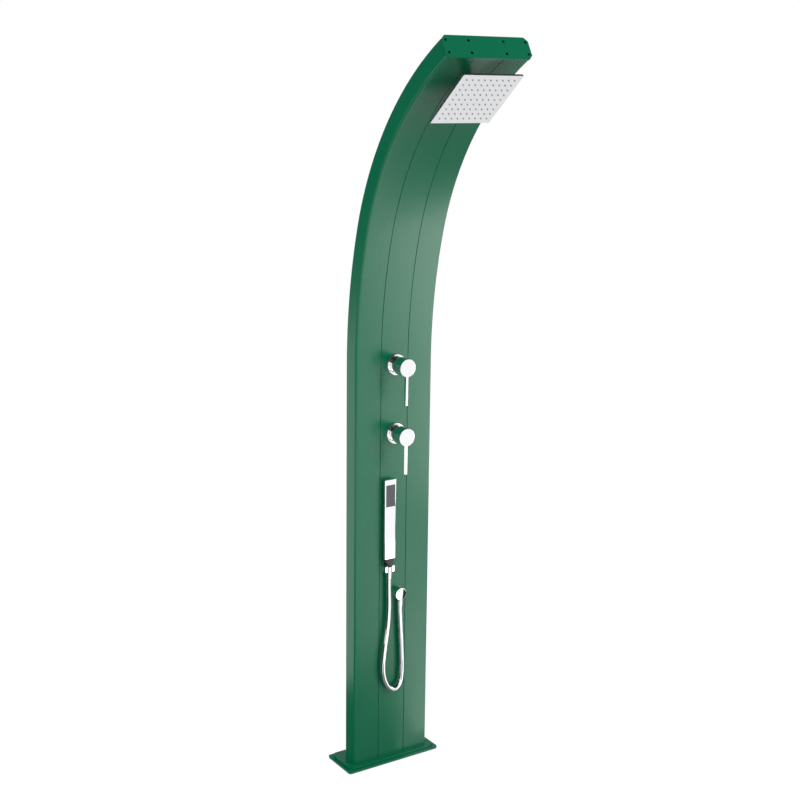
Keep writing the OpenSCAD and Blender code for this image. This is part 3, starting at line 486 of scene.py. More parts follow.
# Edges that turn by more degrees than this are rounded
ROUNDED_FROM = 35
# CAD faces that turn by fewer degrees than this become one face, after a weld in metres
FLAT_BELOW, CAD_WELD = 0.4, 3e-6


def rounded_loop(points, radii, steps=4):
    """A closed outline with each corner rounded to its own radius."""
    outline = []
    count = len(points)
    for i, (point, radius) in enumerate(zip(points, radii)):
        here = Vector(point)
        back = Vector(points[i - 1]) - here
        ahead = Vector(points[(i + 1) % count]) - here
        if radius <= 0:
            outline.append(tuple(here))
            continue
        corner = back.angle(ahead)
        reach = min(radius / math.tan(corner / 2), back.length * SHARE, ahead.length * SHARE)
        radius = reach * math.tan(corner / 2)
        first = here + back.normalized() * reach
        last = here + ahead.normalized() * reach
        centre = here + (back.normalized() + ahead.normalized()).normalized() * (
            radius / math.sin(corner / 2))
        # Points on the arc, evenly by angle, from the first arm over to the last
        arm, end_arm = first - centre, last - centre
        whole = arm.angle(end_arm)
        side = (end_arm - arm * math.cos(whole)).normalized()
        for k in range(steps + 1):
            part = whole * k / steps
            outline.append(tuple(
                centre + (arm * math.cos(part) + side * (radius * math.sin(part)))))
    return outline


def rectangle(x0, y0, x1, y1):
    return [(x0, y0), (x1, y0), (x1, y1), (x0, y1)]


def new_piece(name, mesh):
    piece = bpy.data.objects.new(name, mesh)
    bpy.context.scene.collection.objects.link(piece)
    return piece


def mesh_from(name, points, faces, place_by=None):
    """A closed mesh from points and faces, merged, with its faces turned outwards."""
    made = bmesh.new()
    corners = [made.verts.new(p) for p in points]
    for face in faces:
        if len(set(face)) > 2:
            made.faces.new([corners[i] for i in face])
    bmesh.ops.remove_doubles(made, verts=made.verts, dist=WELD)
    bmesh.ops.dissolve_degenerate(made, edges=made.edges, dist=WELD / 10)
    if place_by is not None:
        bmesh.ops.transform(made, matrix=place_by, verts=made.verts)
    bmesh.ops.recalc_face_normals(made, faces=made.faces)
    mesh = bpy.data.meshes.new(name)
    made.to_mesh(mesh)
    made.free()
    return mesh


def settle(piece, material, sharp=40.0, rounding=0.0, segments=3):
    """Rounds a piece's edges, shades it smooth between sharp edges and leaves a plain mesh."""
    mesh = piece.data
    mesh.shade_smooth()
    if rounding > 0:
        edges = piece.modifiers.new("edges", "BEVEL")
        edges.width = rounding
        edges.segments = segments
        edges.limit_method = "ANGLE"
        edges.angle_limit = math.radians(ROUNDED_FROM)
        edges.use_clamp_overlap = True
        edges.miter_outer = "MITER_ARC"
    else:
        mesh.set_sharp_from_angle(angle=math.radians(sharp))
    weights = piece.modifiers.new("shading", "WEIGHTED_NORMAL")
    weights.keep_sharp = True
    weights.weight = 100
    bpy.context.view_layer.update()
    graph = bpy.context.evaluated_depsgraph_get()
    done = bpy.data.meshes.new_from_object(piece.evaluated_get(graph), depsgraph=graph)
    done.name = piece.name
    piece.modifiers.clear()
    piece.data = done
    done.materials.clear()
    done.materials.append(finish(material))
    return piece


def turned(name, outline, material, place_by, segments=96):
    """A lathe-turned piece: a closed outline of (radius, height) spun round the Z axis."""
    points, faces = [], []
    count = len(outline)
    for k in range(segments):
        angle = 2 * math.pi * k / segments
        points += [(r * math.cos(angle), r * math.sin(angle), h) for r, h in outline]
    for k in range(segments):
        a, b = k * count, (k + 1) % segments * count
        for i in range(count):
            j = (i + 1) % count
            if outline[i][0] > 0 or outline[j][0] > 0:
                faces.append((a + i, a + j, b + j, b + i))
    return settle(new_piece(name, mesh_from(name, points, faces, place_by)), material)


def dressed_copy(node, material, rounding, segments=3):
    """A copy of a CAD node, merged to whole faces, with its hard edges rounded."""
    made = bmesh.new()
    made.from_mesh(frame["nodes"][node].data)
    bmesh.ops.remove_doubles(made, verts=made.verts, dist=CAD_WELD)
    bmesh.ops.dissolve_limit(
        made, angle_limit=math.radians(FLAT_BELOW), verts=made.verts, edges=made.edges)
    mesh = bpy.data.meshes.new(node + "_shell")
    made.to_mesh(mesh)
    made.free()
    piece = new_piece(mesh.name, mesh)
    settle(piece, material, rounding=rounding, segments=segments)
    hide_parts(node)
    return piece


def out_of(centre_x, face_y, centre_z):
    """Frame of a piece on the straight front: its Z axis points out of the face."""
    return Matrix.Translation((centre_x, face_y, centre_z)) @ Matrix.Rotation(
        math.radians(90), 4, "X")


class Bend:
    """The post's line: straight up, round the gentle bend and then round the tight one."""
    STRAIGHT_STEPS, LOWER_STEPS, UPPER_STEPS = 12, 31, 90
    # Angle of the last short step, which keeps the section square to the line's end
    LAST_STEP = 2e-4

    def __init__(self, sizes):
        self.sizes = sizes
        cos, sin = math.cos(sizes.lower_angle), math.sin(sizes.lower_angle)
        self.lower = Vector((sizes.face_y - sizes.lower_radius, sizes.straight))
        self.upper = self.lower + (sizes.lower_radius - sizes.upper_radius) * Vector((cos, sin))
        self.end = sizes.lower_angle + sizes.upper_angle

    def on_upper(self, angle):
        """Frame on the tight bend: Y into the post and Z along it."""
        at = self.upper + self.sizes.upper_radius * Vector((math.cos(angle), math.sin(angle)))
        return Matrix.Translation((0, at.x, at.y)) @ Matrix.Rotation(angle, 4, "X")

    def stations(self, low, short=0.0):
        """Points on the front face from a height up to an angle short of the end."""
        sizes = self.sizes
        steps = self.STRAIGHT_STEPS
        line = [(sizes.face_y, low + (sizes.straight - low) * k / steps) for k in range(steps)]
        last = self.end - short
        for centre, radius, start, stop, count in (
                (self.lower, sizes.lower_radius, 0.0, sizes.lower_angle, self.LOWER_STEPS),
                (self.upper, sizes.upper_radius, sizes.lower_angle, last, self.UPPER_STEPS)):
            for k in range(count):
                angle = start + (stop - start) * k / count
                line.append(tuple(centre + radius * Vector((math.cos(angle), math.sin(angle)))))
        for angle in (last - self.LAST_STEP, last):
            line.append(tuple(
                self.upper + sizes.upper_radius * Vector((math.cos(angle), math.sin(angle)))))
        return [(0.0, y, z) for y, z in line]


# Geometry Nodes

def geometry_tree(name, sockets):
    """An empty tree with a geometry input and output and the named inputs."""
    tree = bpy.data.node_groups.new(name, "GeometryNodeTree")
    tree.interface.new_socket("Geometry", in_out="INPUT", socket_type="NodeSocketGeometry")
    for label, kind in sockets.items():
        tree.interface.new_socket(label, in_out="INPUT", socket_type="NodeSocket" + kind)
    tree.interface.new_socket("Geometry", in_out="OUTPUT", socket_type="NodeSocketGeometry")
    return tree, add_node(tree, "NodeGroupInput").outputs


def end_tree(tree, geometry, given):
    """Every tree ends alike: real faces with the piece's own material."""
    real = add_node(tree, "GeometryNodeRealizeInstances", {"Geometry": geometry})
    coated = add_node(tree, "GeometryNodeSetMaterial", {
        "Geometry": real.outputs["Geometry"], "Material": given["Material"]})
    add_node(tree, "NodeGroupOutput", {"Geometry": coated.outputs["Geometry"]})


def grown(name, seed_mesh, tree, values):
    """Runs a tree on a seed mesh and keeps the result as a plain mesh."""
    piece = new_piece(name, seed_mesh)
    modifier = piece.modifiers.new(tree.name, "NODES")
    modifier.node_group = tree
    for item in tree.interface.items_tree:
        if item.item_type == "SOCKET" and item.in_out == "INPUT" and item.name in values:
            modifier[item.identifier] = values[item.name]
    bpy.context.view_layer.update()
    graph = bpy.context.evaluated_depsgraph_get()
    mesh = bpy.data.meshes.new_from_object(piece.evaluated_get(graph), depsgraph=graph)
    piece.modifiers.clear()
    mesh.name = name
    piece.data = mesh
    return piece


def swept_tree():
    """Pulls a section along the post's line; its X stays level and its Y points into the post."""
    tree, given = geometry_tree("extruded_profile", {
        "Section": "Object", "Closed ends": "Bool", "Material": "Material"})
    line = add_node(tree, "GeometryNodeMeshToCurve", {"Mesh": given["Geometry"]})
    held = add_node(tree, "GeometryNodeSetCurveNormal", {
        "Curve": line.outputs["Curve"], "Normal": (1.0, 0.0, 0.0)}, mode="FREE")
    section = add_node(tree, "GeometryNodeObjectInfo", {"Object": given["Section"]})
    outline = add_node(tree, "GeometryNodeMeshToCurve", {"Mesh": section.outputs["Geometry"]})
    swept = add_node(tree, "GeometryNodeCurveToMesh", {
        "Curve": held.outputs["Curve"], "Profile Curve": outline.outputs["Curve"],
        "Fill Caps": given["Closed ends"]})
    end_tree(tree, swept.outputs["Mesh"], given)
    return tree


def loops_mesh(name, loops):
    """Closed outlines as edges only; a section's Y is its depth behind the face."""
    points, edges = [], []
    for loop in loops:
        first = len(points)
        points += [(x, y, 0.0) for x, y in loop]
        edges += [(first + i, first + (i + 1) % len(loop)) for i in range(len(loop))]
    mesh = bpy.data.meshes.new(name)
    mesh.from_pydata(points, edges, [])
    return mesh


# A height in metres between an extrusion's lower and upper end
HALF_WAY = 0.5


def close_ends(mesh, loops):
    """Welds an extrusion and, where it is hollow, joins its rims at both ends."""
    made = bmesh.new()
    made.from_mesh(mesh)
    bmesh.ops.remove_doubles(made, verts=made.verts, dist=WELD)
    if loops > 1:
        rims = [e for e in made.edges if e.is_boundary]
        for low in (True, False):
            some = [e for e in rims if (e.verts[0].co.z < HALF_WAY) == low]
            bmesh.ops.bridge_loops(made, edges=some)
    bmesh.ops.recalc_face_normals(made, faces=made.faces)
    made.to_mesh(mesh)
    made.free()


def extruded(name, loops, bend, low, short, tree, material):
    """An extrusion that follows the post's line, hollow where it has two outlines."""
    line = bend.stations(low, short)
    seed = bpy.data.meshes.new(name + "_line")
    seed.from_pydata(line, [(i, i + 1) for i in range(len(line) - 1)], [])
    section = new_piece(name + "_section", loops_mesh(name + "_section", loops))
    piece = grown(name, seed, tree, {
        "Section": section, "Closed ends": len(loops) == 1, "Material": finish(material)})
    bpy.data.objects.remove(section)
    close_ends(piece.data, len(loops))
    return settle(piece, material, sharp=30.0)


def stud_tree(name):
    """Puts a tapered round stud on each point of the seed, all turned the same way."""
    tree, given = geometry_tree(name, {
        "Base radius": "Float", "Tip radius": "Float", "Length": "Float", "Sides": "Int",
        "Turn": "Vector", "Material": "Material"})
    stud = add_node(tree, "GeometryNodeMeshCone", {
        "Vertices": given["Sides"], "Radius Bottom": given["Base radius"],
        "Radius Top": given["Tip radius"], "Depth": given["Length"]})
    smooth = add_node(tree, "GeometryNodeSetShadeSmooth", {
        "Geometry": stud.outputs["Mesh"], "Selection": stud.outputs["Side"]})
    spread = add_node(tree, "GeometryNodeInstanceOnPoints", {
        "Points": given["Geometry"], "Instance": smooth.outputs["Geometry"],
        "Rotation": given["Turn"]})
    end_tree(tree, spread.outputs["Instances"], given)
    return tree


def screw_tree():
    """Puts a countersunk screw on each point: a shank, a head and its hexagon socket."""
    tree, given = geometry_tree("countersunk_screw", {
        "Head radius": "Float", "Shank radius": "Float", "Shank length": "Float",
        "Socket radius": "Float", "Socket depth": "Float", "Turn": "Vector",
        "Material": "Material"})
    def maths(operation, first, second):
        return add_node(tree, "ShaderNodeMath", {
            0: first, 1: second}, operation=operation).outputs[0]

    def stub(sides, bottom, top, depth, lift):
        """A cone or cylinder that stands at that height."""
        cone = add_node(tree, "GeometryNodeMeshCone", {
            "Vertices": sides, "Radius Bottom": bottom, "Radius Top": top, "Depth": depth})
        at = add_node(tree, "ShaderNodeCombineXYZ", {"Z": lift})
        return add_node(tree, "GeometryNodeTransform", {
            "Geometry": cone.outputs["Mesh"],
            "Translation": at.outputs["Vector"]}).outputs["Geometry"]

    head, thin, socket = given["Head radius"], given["Shank radius"], given["Socket radius"]
    sunk = maths("SUBTRACT", head, thin)
    head_set = stub(32, thin, head, sunk, maths("MULTIPLY", sunk, -1.0))
    shank_set = stub(
        24, thin, thin, maths("SUBTRACT", given["Shank length"], sunk),
        maths("MULTIPLY", given["Shank length"], -1.0))
    # A fifth of the socket's cutter stands out above the head, so that it cuts clean through
    socket_set = stub(
        6, socket, socket, given["Socket depth"], maths("MULTIPLY", given["Socket depth"], -0.8))
    cut_head = add_node(tree, "GeometryNodeMeshBoolean", operation="DIFFERENCE")
    tree.links.new(head_set, cut_head.inputs[0])
    tree.links.new(socket_set, cut_head.inputs[1])
    whole = add_node(tree, "GeometryNodeJoinGeometry")
    tree.links.new(cut_head.outputs["Mesh"], whole.inputs[0])
    tree.links.new(shank_set, whole.inputs[0])
    spread = add_node(tree, "GeometryNodeInstanceOnPoints", {
        "Points": given["Geometry"], "Instance": whole.outputs["Geometry"],
        "Rotation": given["Turn"]})
    end_tree(tree, spread.outputs["Instances"], given)
    return tree


def points_mesh(name, points, place_by=None):
    mesh = bpy.data.meshes.new(name)
    mesh.from_pydata([tuple(place_by @ Vector(p)) if place_by else p for p in points], [], [])
    return mesh


# Hose

# The route of part.scad from the handset's nut to the outlet's nut, sideways and up
HOSE_ROUTE = [
    (-0.022, 0.640), (-0.022, 0.622), (-0.0215, 0.590), (-0.021, 0.555), (-0.022, 0.520),
    (-0.0245, 0.485), (-0.0285, 0.452), (-0.034, 0.415), (-0.0385, 0.380), (-0.0415, 0.350),
    (-0.041, 0.322), (-0.037, 0.300), (-0.029, 0.280), (-0.018, 0.264), (-0.006, 0.255),
    (0.006, 0.254), (0.017, 0.261), (0.025, 0.275), (0.029, 0.296), (0.0305, 0.322),
    (0.030, 0.352), (0.0285, 0.390), (0.0265, 0.430), (0.024, 0.470), (0.022, 0.505),
    (0.021, 0.525), (0.021, 0.540),
]


# Edges of the tube that turn by more degrees than this stay sharp: those of its two ends
HOSE_SHARP = 50


def smooth_route(points, parts=8):
    """A smooth line through the route's points, straight out at both ends."""
    line = []
    last = len(points) - 1
    for i in range(last):
        a, b = Vector(points[i]), Vector(points[i + 1])
        before = Vector(points[i - 1]) if i else a - (b - a)
        after = Vector(points[i + 2]) if i + 2 <= last else b + (b - a)
        for k in range(parts):
            t = k / parts
            # Centripetal knots keep the line from overshooting where the spacing changes
            ta = (a - before).length ** 0.5
            tb = ta + (b - a).length ** 0.5
            tc = tb + (after - b).length ** 0.5
            at = ta + (tb - ta) * t
            p1 = before * ((ta - at) / ta) + a * (at / ta)
            p2 = a * ((tb - at) / (tb - ta)) + b * ((at - ta) / (tb - ta))
            p3 = b * ((tc - at) / (tc - tb)) + after * ((at - tb) / (tc - tb))
            q1 = p1 * ((tb - at) / tb) + p2 * (at / tb)
            q2 = p2 * ((tc - at) / (tc - ta)) + p3 * ((at - ta) / (tc - ta))
            line.append(q1 * ((tb - at) / (tb - ta)) + q2 * ((at - ta) / (tb - ta)))
    line.append(Vector(points[-1]))
    return line


class SHOWER_OT_hose(bpy.types.Operator):
    """Makes the shower hose as one tube along its hanging route"""
    bl_idname = "shower.hose"
    bl_label = "Hose"

    def execute(self, context):
        sizes = context.scene.hose_sizes
        post = context.scene.post_sizes
        grip = context.scene.handset_sizes
        depth = post.face_y - grip.off
        route = [(p.x, depth, p.y) for p in smooth_route(HOSE_ROUTE)][::-1]
        sides = sizes.sides
        points, faces, marks = [], [], []
        gone = 0.0
        for i, point in enumerate(route):
            here = Vector(point)
            if i:
                gone += (here - Vector(route[i - 1])).length
            ahead = Vector(route[min(i + 1, len(route) - 1)]) - Vector(route[max(i - 1, 0)])
            if i in (0, len(route) - 1):
                ahead = Vector((0, 0, -1 if i == 0 else 1))
            side = ahead.normalized().cross(Vector((0, 1, 0)))
            for k in range(sides):
                angle = 2 * math.pi * k / sides
                points.append(here + sizes.diameter / 2 * (
                    side * math.cos(angle) + Vector((0, math.sin(angle), 0))))
            marks.append(gone)
        for i in range(len(route) - 1):
            for k in range(sides):
                a, b = i * sides + k, i * sides + (k + 1) % sides
                faces.append((a, b, b + sides, a + sides))
        faces.append(tuple(range(sides)))
        faces.append(tuple(range(len(points) - sides, len(points))))
        mesh = mesh_from("shower_hose", points, faces)
        mesh.shade_smooth()
        mesh.set_sharp_from_angle(angle=math.radians(HOSE_SHARP))
        unwrapped = mesh.uv_layers.new(name="route")
        # V is the length along the hose in metres, so that the winding has the pitch of the sizes
        for loop in mesh.loops:
            index = loop.vertex_index
            unwrapped.data[loop.index].uv = (
                (index % sides) / sides, marks[min(index // sides, len(marks) - 1)])
        hose = new_piece("shower_hose", mesh)
        mesh.materials.append(finish("hose"))
        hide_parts("hose")
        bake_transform(hose)
        return {"FINISHED"}


# Camera and pieces

# Width of the camera's sensor in millimetres, and its nearest and farthest sight in metres
SENSOR, NEAREST, FARTHEST = 36.0, 0.05, 100.0


class SHOWER_OT_camera(bpy.types.Operator):
    """Puts the camera at the photograph's place"""
    bl_idname = "shower.camera"
    bl_label = "Camera"

    def execute(self, context):
        view = context.scene.studio
        camera = bpy.data.cameras.new("studio_camera")
        camera.lens = view.lens
        camera.sensor_width = SENSOR
        camera.clip_start = NEAREST
        camera.clip_end = FARTHEST
        stand = bpy.data.objects.new("studio_camera", camera)
        context.scene.collection.objects.link(stand)
        ahead = Vector((
            math.sin(view.yaw) * math.cos(view.pitch), math.cos(view.yaw) * math.cos(view.pitch),
            math.sin(view.pitch)))
        level = Vector((math.cos(view.yaw), -math.sin(view.yaw), 0))
        up = level.cross(ahead)
        right = level * math.cos(view.roll) + up * math.sin(view.roll)
        up = up * math.cos(view.roll) - level * math.sin(view.roll)
        axes = Matrix((right, up, -ahead)).transposed().to_4x4()
        stand.matrix_world = Matrix.Translation(view.camera) @ axes
        context.scene.camera = stand
        return {"FINISHED"}


class SHOWER_OT_profiles(bpy.types.Operator):
    """Makes the two bent side profiles and the two channel panels"""
    bl_idname = "shower.profiles"
    bl_label = "Post profiles"

    def execute(self, context):
        sizes = context.scene.post_sizes
        bend = Bend(sizes)
        tree = swept_tree()
        inner, outer = sizes.channel / 2, sizes.width / 2
        wall, corner, edge = sizes.wall, sizes.corner, sizes.seam_edge
        hull = rounded_loop(
            rectangle(inner, 0.0, outer, sizes.depth), [edge, corner, corner, edge], steps=6)
        hollow = rounded_loop(
            rectangle(inner + wall, wall, outer - wall, sizes.depth - wall),
            [CRISP, corner - wall, corner - wall, CRISP], steps=6)
        for name, node, side in (
                ("right_profile_shell", "right_side_profile", 1),
                ("left_profile_shell", "left_side_profile", -1)):
            loops = [[(side * x, y) for x, y in loop] for loop in (hull, hollow)]
            piece = extruded(name, loops, bend, sizes.foot_top, 0.0, tree, "powder_coat")
            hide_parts(node)
            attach(piece, "post")
        half = sizes.channel / 2 - sizes.seam
        leg = sizes.leg_wall
        plate = [
            (-half, 0.0), (half, 0.0), (half, sizes.leg), (half - leg, sizes.leg),
            (half - leg, wall), (-half + leg, wall), (-half + leg, sizes.leg),
            (-half, sizes.leg)]
        radii = [edge, edge, BROKEN, BROKEN, SHARP, SHARP, BROKEN, BROKEN]
        short = math.asin(sizes.panel_stop / sizes.upper_radius)
        front = rounded_loop(plate, radii, steps=3)
        back = [(x, sizes.depth - y) for x, y in front]
        for name, node, loop in (
                ("front_panel_shell", "front_panel", front),
                ("rear_panel_shell", "rear_panel", back)):
            piece = extruded(name, [loop], bend, sizes.foot_top, short, tree, "powder_coat")
            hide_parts(node)
            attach(piece, "post")
        return {"FINISHED"}


class SHOWER_OT_end_cap(bpy.types.Operator):
    """Makes the end cap and its eight countersunk screws"""
    bl_idname = "shower.end_cap"
    bl_label = "End cap"

    def execute(self, context):
        sizes = context.scene.cap_sizes
        post = context.scene.post_sizes
        bend = Bend(post)
        cap = dressed_copy("end_cap", "powder_coat", sizes.edge)
        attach(cap, "post")
        seats = [
            (side * x, depth, sizes.thickness)
            for side in (-1, 1) for x in (sizes.screw_inner, sizes.screw_outer)
            for depth in (sizes.screw_depth, post.depth - sizes.screw_depth)]
        screws = grown(
            "end_cap_screw_set", points_mesh("screw_seats", seats, bend.on_upper(bend.end)),
            screw_tree(), {
                "Head radius": sizes.head_radius, "Shank radius": sizes.shank_radius,
                "Shank length": sizes.shank_length, "Socket radius": sizes.socket_radius,
                "Socket depth": sizes.socket_depth, "Turn": (bend.end, 0.0, 0.0),
                "Material": finish("screw")})
        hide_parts("end_cap_screws")
        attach(screws, "post")
        return {"FINISHED"}


class SHOWER_OT_foot(bpy.types.Operator):
    """Makes the floor plate and the foot plate with their rounded edges"""
    bl_idname = "shower.foot"
    bl_label = "Foot"

    def execute(self, context):
        sizes = context.scene.foot_sizes
        for node in ("floor_plate", "foot_plate"):
            plate = dressed_copy(node, "powder_coat", sizes.edge)
            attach(plate, "post")
        return {"FINISHED"}


class SHOWER_OT_controls(bpy.types.Operator):
    """Makes the cups, knobs and pin levers of the mixer and the diverter"""
    bl_idname = "shower.controls"
    bl_label = "Controls"

    def execute(self, context):
        sizes = context.scene.control_sizes
        face_y = context.scene.post_sizes.face_y
        edge = sizes.edge
        inner = sizes.cup_neck - sizes.cup_wall
        top = sizes.cup_low + sizes.cup_length
        cup = rounded_loop([
            (sizes.cup_hole, sizes.cup_low), (sizes.cup_radius, sizes.cup_low),
            (sizes.cup_radius, sizes.cup_flange), (sizes.cup_sleeve, sizes.cup_flange),
            (sizes.cup_sleeve, sizes.cup_collar), (sizes.cup_neck, sizes.cup_collar),
            (sizes.cup_neck, top), (inner, top), (inner, sizes.cup_low + sizes.cup_wall),
            (sizes.cup_hole, sizes.cup_low + sizes.cup_wall)],
            [SHARP, BROKEN, edge, FILLET, SOFT, LIGHT, FINE, FINE, FINE, SHARP])
        skirt = sizes.knob_radius - sizes.knob_wall
        knob = rounded_loop([
            (0.0, sizes.knob_front), (0.0, sizes.knob_ceiling), (skirt, sizes.knob_ceiling),
            (skirt, sizes.knob_back), (sizes.knob_radius, sizes.knob_back),
            (sizes.knob_radius, sizes.knob_front)],
            [SHARP, SHARP, ROUND, FINE, FINE, edge])
        start = sizes.knob_radius - sizes.lever_sunk
        root = start - sizes.lever_root
        lever = rounded_loop([
            (0.0, root), (sizes.lever_radius / 2, root),
            (sizes.lever_radius / 2, start), (sizes.lever_radius, start),
            (sizes.lever_radius, sizes.lever_reach), (0.0, sizes.lever_reach)],
            [SHARP, SHARP, SHARP, FINE, edge, SHARP])
        for kind, centre, body in (
                ("mixer", MIXER, "mixer_handle"), ("diverter", DIVERTER, "diverter_handle")):
            seat = out_of(centre.x, face_y, centre.z)
            hang = seat @ Matrix.Translation((0, 0, sizes.lever_off)) @ Matrix.Rotation(
                math.radians(90), 4, "X")
            for part, outline, by, rides, count in (
                    ("cup", cup, seat, "post", 96), ("knob", knob, seat, body, 96),
                    ("lever", lever, hang, body, 48)):
                piece = turned(f"{kind}_{part}_shell", outline, "chrome", by, count)
                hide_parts(f"{kind}_{part}")
                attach(piece, rides)
        return {"FINISHED"}


class SHOWER_OT_outlet(bpy.types.Operator):
    """Makes the round hose outlet and the slim nut under it"""
    bl_idname = "shower.outlet"
    bl_label = "Hose outlet"

    def execute(self, context):
        sizes = context.scene.outlet_sizes
        hose = context.scene.hose_sizes
        post = context.scene.post_sizes
        depth = post.face_y - context.scene.handset_sizes.off
        dome = turned("outlet_body_shell", rounded_loop([
            (0.0, 0.0), (sizes.radius, 0.0), (sizes.radius, sizes.front), (0.0, sizes.front)],
            [SHARP, BROKEN, sizes.edge, SHARP]), "chrome",
            out_of(sizes.x, post.face_y, sizes.z))
        upright = Matrix.Translation((sizes.x, depth, 0))
        nut_low = OUTLET_NUT[0].z
        start = nut_low + sizes.nipple_low
        nipple = turned("outlet_nipple", [
            (0.0, start), (sizes.nipple_radius, start), (sizes.nipple_radius, sizes.z),
            (0.0, sizes.z)], "chrome", upright, 64)
        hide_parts("hose_outlet")
        nut = turned("outlet_nut_shell", rounded_loop([
            (0.0, nut_low), (hose.nut_radius, nut_low),
            (hose.nut_radius, nut_low + hose.nut_length), (0.0, nut_low + hose.nut_length)],
            [SHARP, FILLET, SOFT, SHARP]), "chrome", upright, 64)
        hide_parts("outlet_hose_nut")
        for piece in (dome, nipple, nut):
            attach(piece, "post")
        return {"FINISHED"}


class SHOWER_OT_handset(bpy.types.Operator):
    """Makes the stick handset with its spray face, neck and conical nut, and the holder"""
    bl_idname = "shower.handset"
    bl_label = "Handset"
    # Places of the spray nozzles from the middle one, in pitches
    COLUMNS, ROWS = range(-2, 3), range(-5, 6)
    # The neck's section goes from a circle at the nut to a rounded oblong at the stick
    CIRCLE_POWER, OBLONG_POWER = 2, 7

    def execute(self, context):
        sizes = context.scene.handset_sizes
        depth = context.scene.post_sizes.face_y - sizes.off
        stick = dressed_copy("handset_body", "chrome", sizes.edge)
        holder = dressed_copy("handset_holder", "chrome", LIGHT)
        low, high = CONE_NUT
        cone = turned("handset_nut_shell", rounded_loop([
            (0.0, low.z), (sizes.cone_low, low.z), (sizes.cone_top, high.z), (0.0, high.z)],
            [SHARP, LIGHT, SOFT, SHARP]), "chrome", Matrix.Translation((sizes.x, depth, 0)), 64)
        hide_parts("handset_hose_nut")
        neck = self.neck(sizes, depth)
        spray_z = sizes.low + sizes.length - sizes.spray_top - sizes.spray_length / 2
        front = depth - sizes.thickness / 2 + sizes.spray_sunk
        insert = self.insert(sizes, front, spray_z)
        seats = [
            (sizes.x + i * sizes.nozzle_pitch, front + sizes.nozzle_root,
             spray_z + k * sizes.nozzle_pitch)
            for i in self.COLUMNS for k in self.ROWS]
        nozzles = grown(
            "handset_nozzles", points_mesh("nozzle_seats", seats), stud_tree("spray_nozzle"), {
                "Base radius": sizes.nozzle_radius, "Tip radius": sizes.nozzle_tip,
                "Length": sizes.nozzle_length, "Sides": 16,
                "Turn": (math.radians(90), 0.0, 0.0), "Material": finish("insert")})
        for piece, slot in (
                (stick, "chrome"), (cone, "chrome"), (neck, "black"), (insert, "rubber"),
                (nozzles, "rubber")):
            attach(piece, "handset")
        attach(holder, "post")
        return {"FINISHED"}

    def neck(self, sizes, depth):
        """Soft taper from the round nut to the flat stick."""
        count, rings = 48, 12
        start = sizes.neck_radius
        wide = sizes.width / 2 - sizes.neck_side
        thick = sizes.thickness / 2 - sizes.neck_face
        points, faces = [], []
        for i in range(rings + 1):
            t = i / rings
            swell = t * t * (3 - 2 * t)
            half_w = start + (wide - start) * swell
            half_t = start + (thick - start) * swell
            power = self.CIRCLE_POWER + (self.OBLONG_POWER - self.CIRCLE_POWER) * swell
            for k in range(count):
                angle = 2 * math.pi * k / count
                cos, sin = math.cos(angle), math.sin(angle)
                points.append((
                    sizes.x + math.copysign(abs(cos) ** (2 / power), cos) * half_w,
                    depth + math.copysign(abs(sin) ** (2 / power), sin) * half_t,
                    sizes.low - sizes.neck * (1 - t)))
        for i in range(rings):
            for k in range(count):
                a, b = i * count + k, i * count + (k + 1) % count
                faces.append((a, b, b + count, a + count))
        faces.append(tuple(range(count)))
        faces.append(tuple(range(rings * count, (rings + 1) * count)))
        neck = new_piece("handset_neck_shell", mesh_from("handset_neck_shell", points, faces))
        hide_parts("handset_neck")
        return settle(neck, "acetal", sharp=45.0)

    def insert(self, sizes, front, spray_z):
        """Flat rubber insert with soft edges, pressed in the stick's front."""
        half_w = sizes.spray_width / 2 - sizes.spray_gap
        half_l = sizes.spray_length / 2 - sizes.spray_gap
        outline = rounded_loop(rectangle(
            sizes.x - half_w, spray_z - half_l, sizes.x + half_w, spray_z + half_l), [SOFT] * 4)
        count = len(outline)
        points = []
        for y, inset in (
                (front + sizes.spray_depth, 0.0), (front + BROKEN, 0.0), (front, BROKEN)):
            for x, z in outline:
                points.append((
                    x - math.copysign(inset, x - sizes.x), y, z - math.copysign(inset, z - spray_z)))
        faces = [
            (ring * count + k, ring * count + (k + 1) % count,
             (ring + 1) * count + (k + 1) % count, (ring + 1) * count + k)
            for ring in (0, 1) for k in range(count)]
        faces += [tuple(range(count)), tuple(range(2 * count, 3 * count))]
        insert = new_piece("spray_insert", mesh_from("spray_insert", points, faces))
        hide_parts("handset_spray_face")
        return settle(insert, "insert", sharp=30.0)


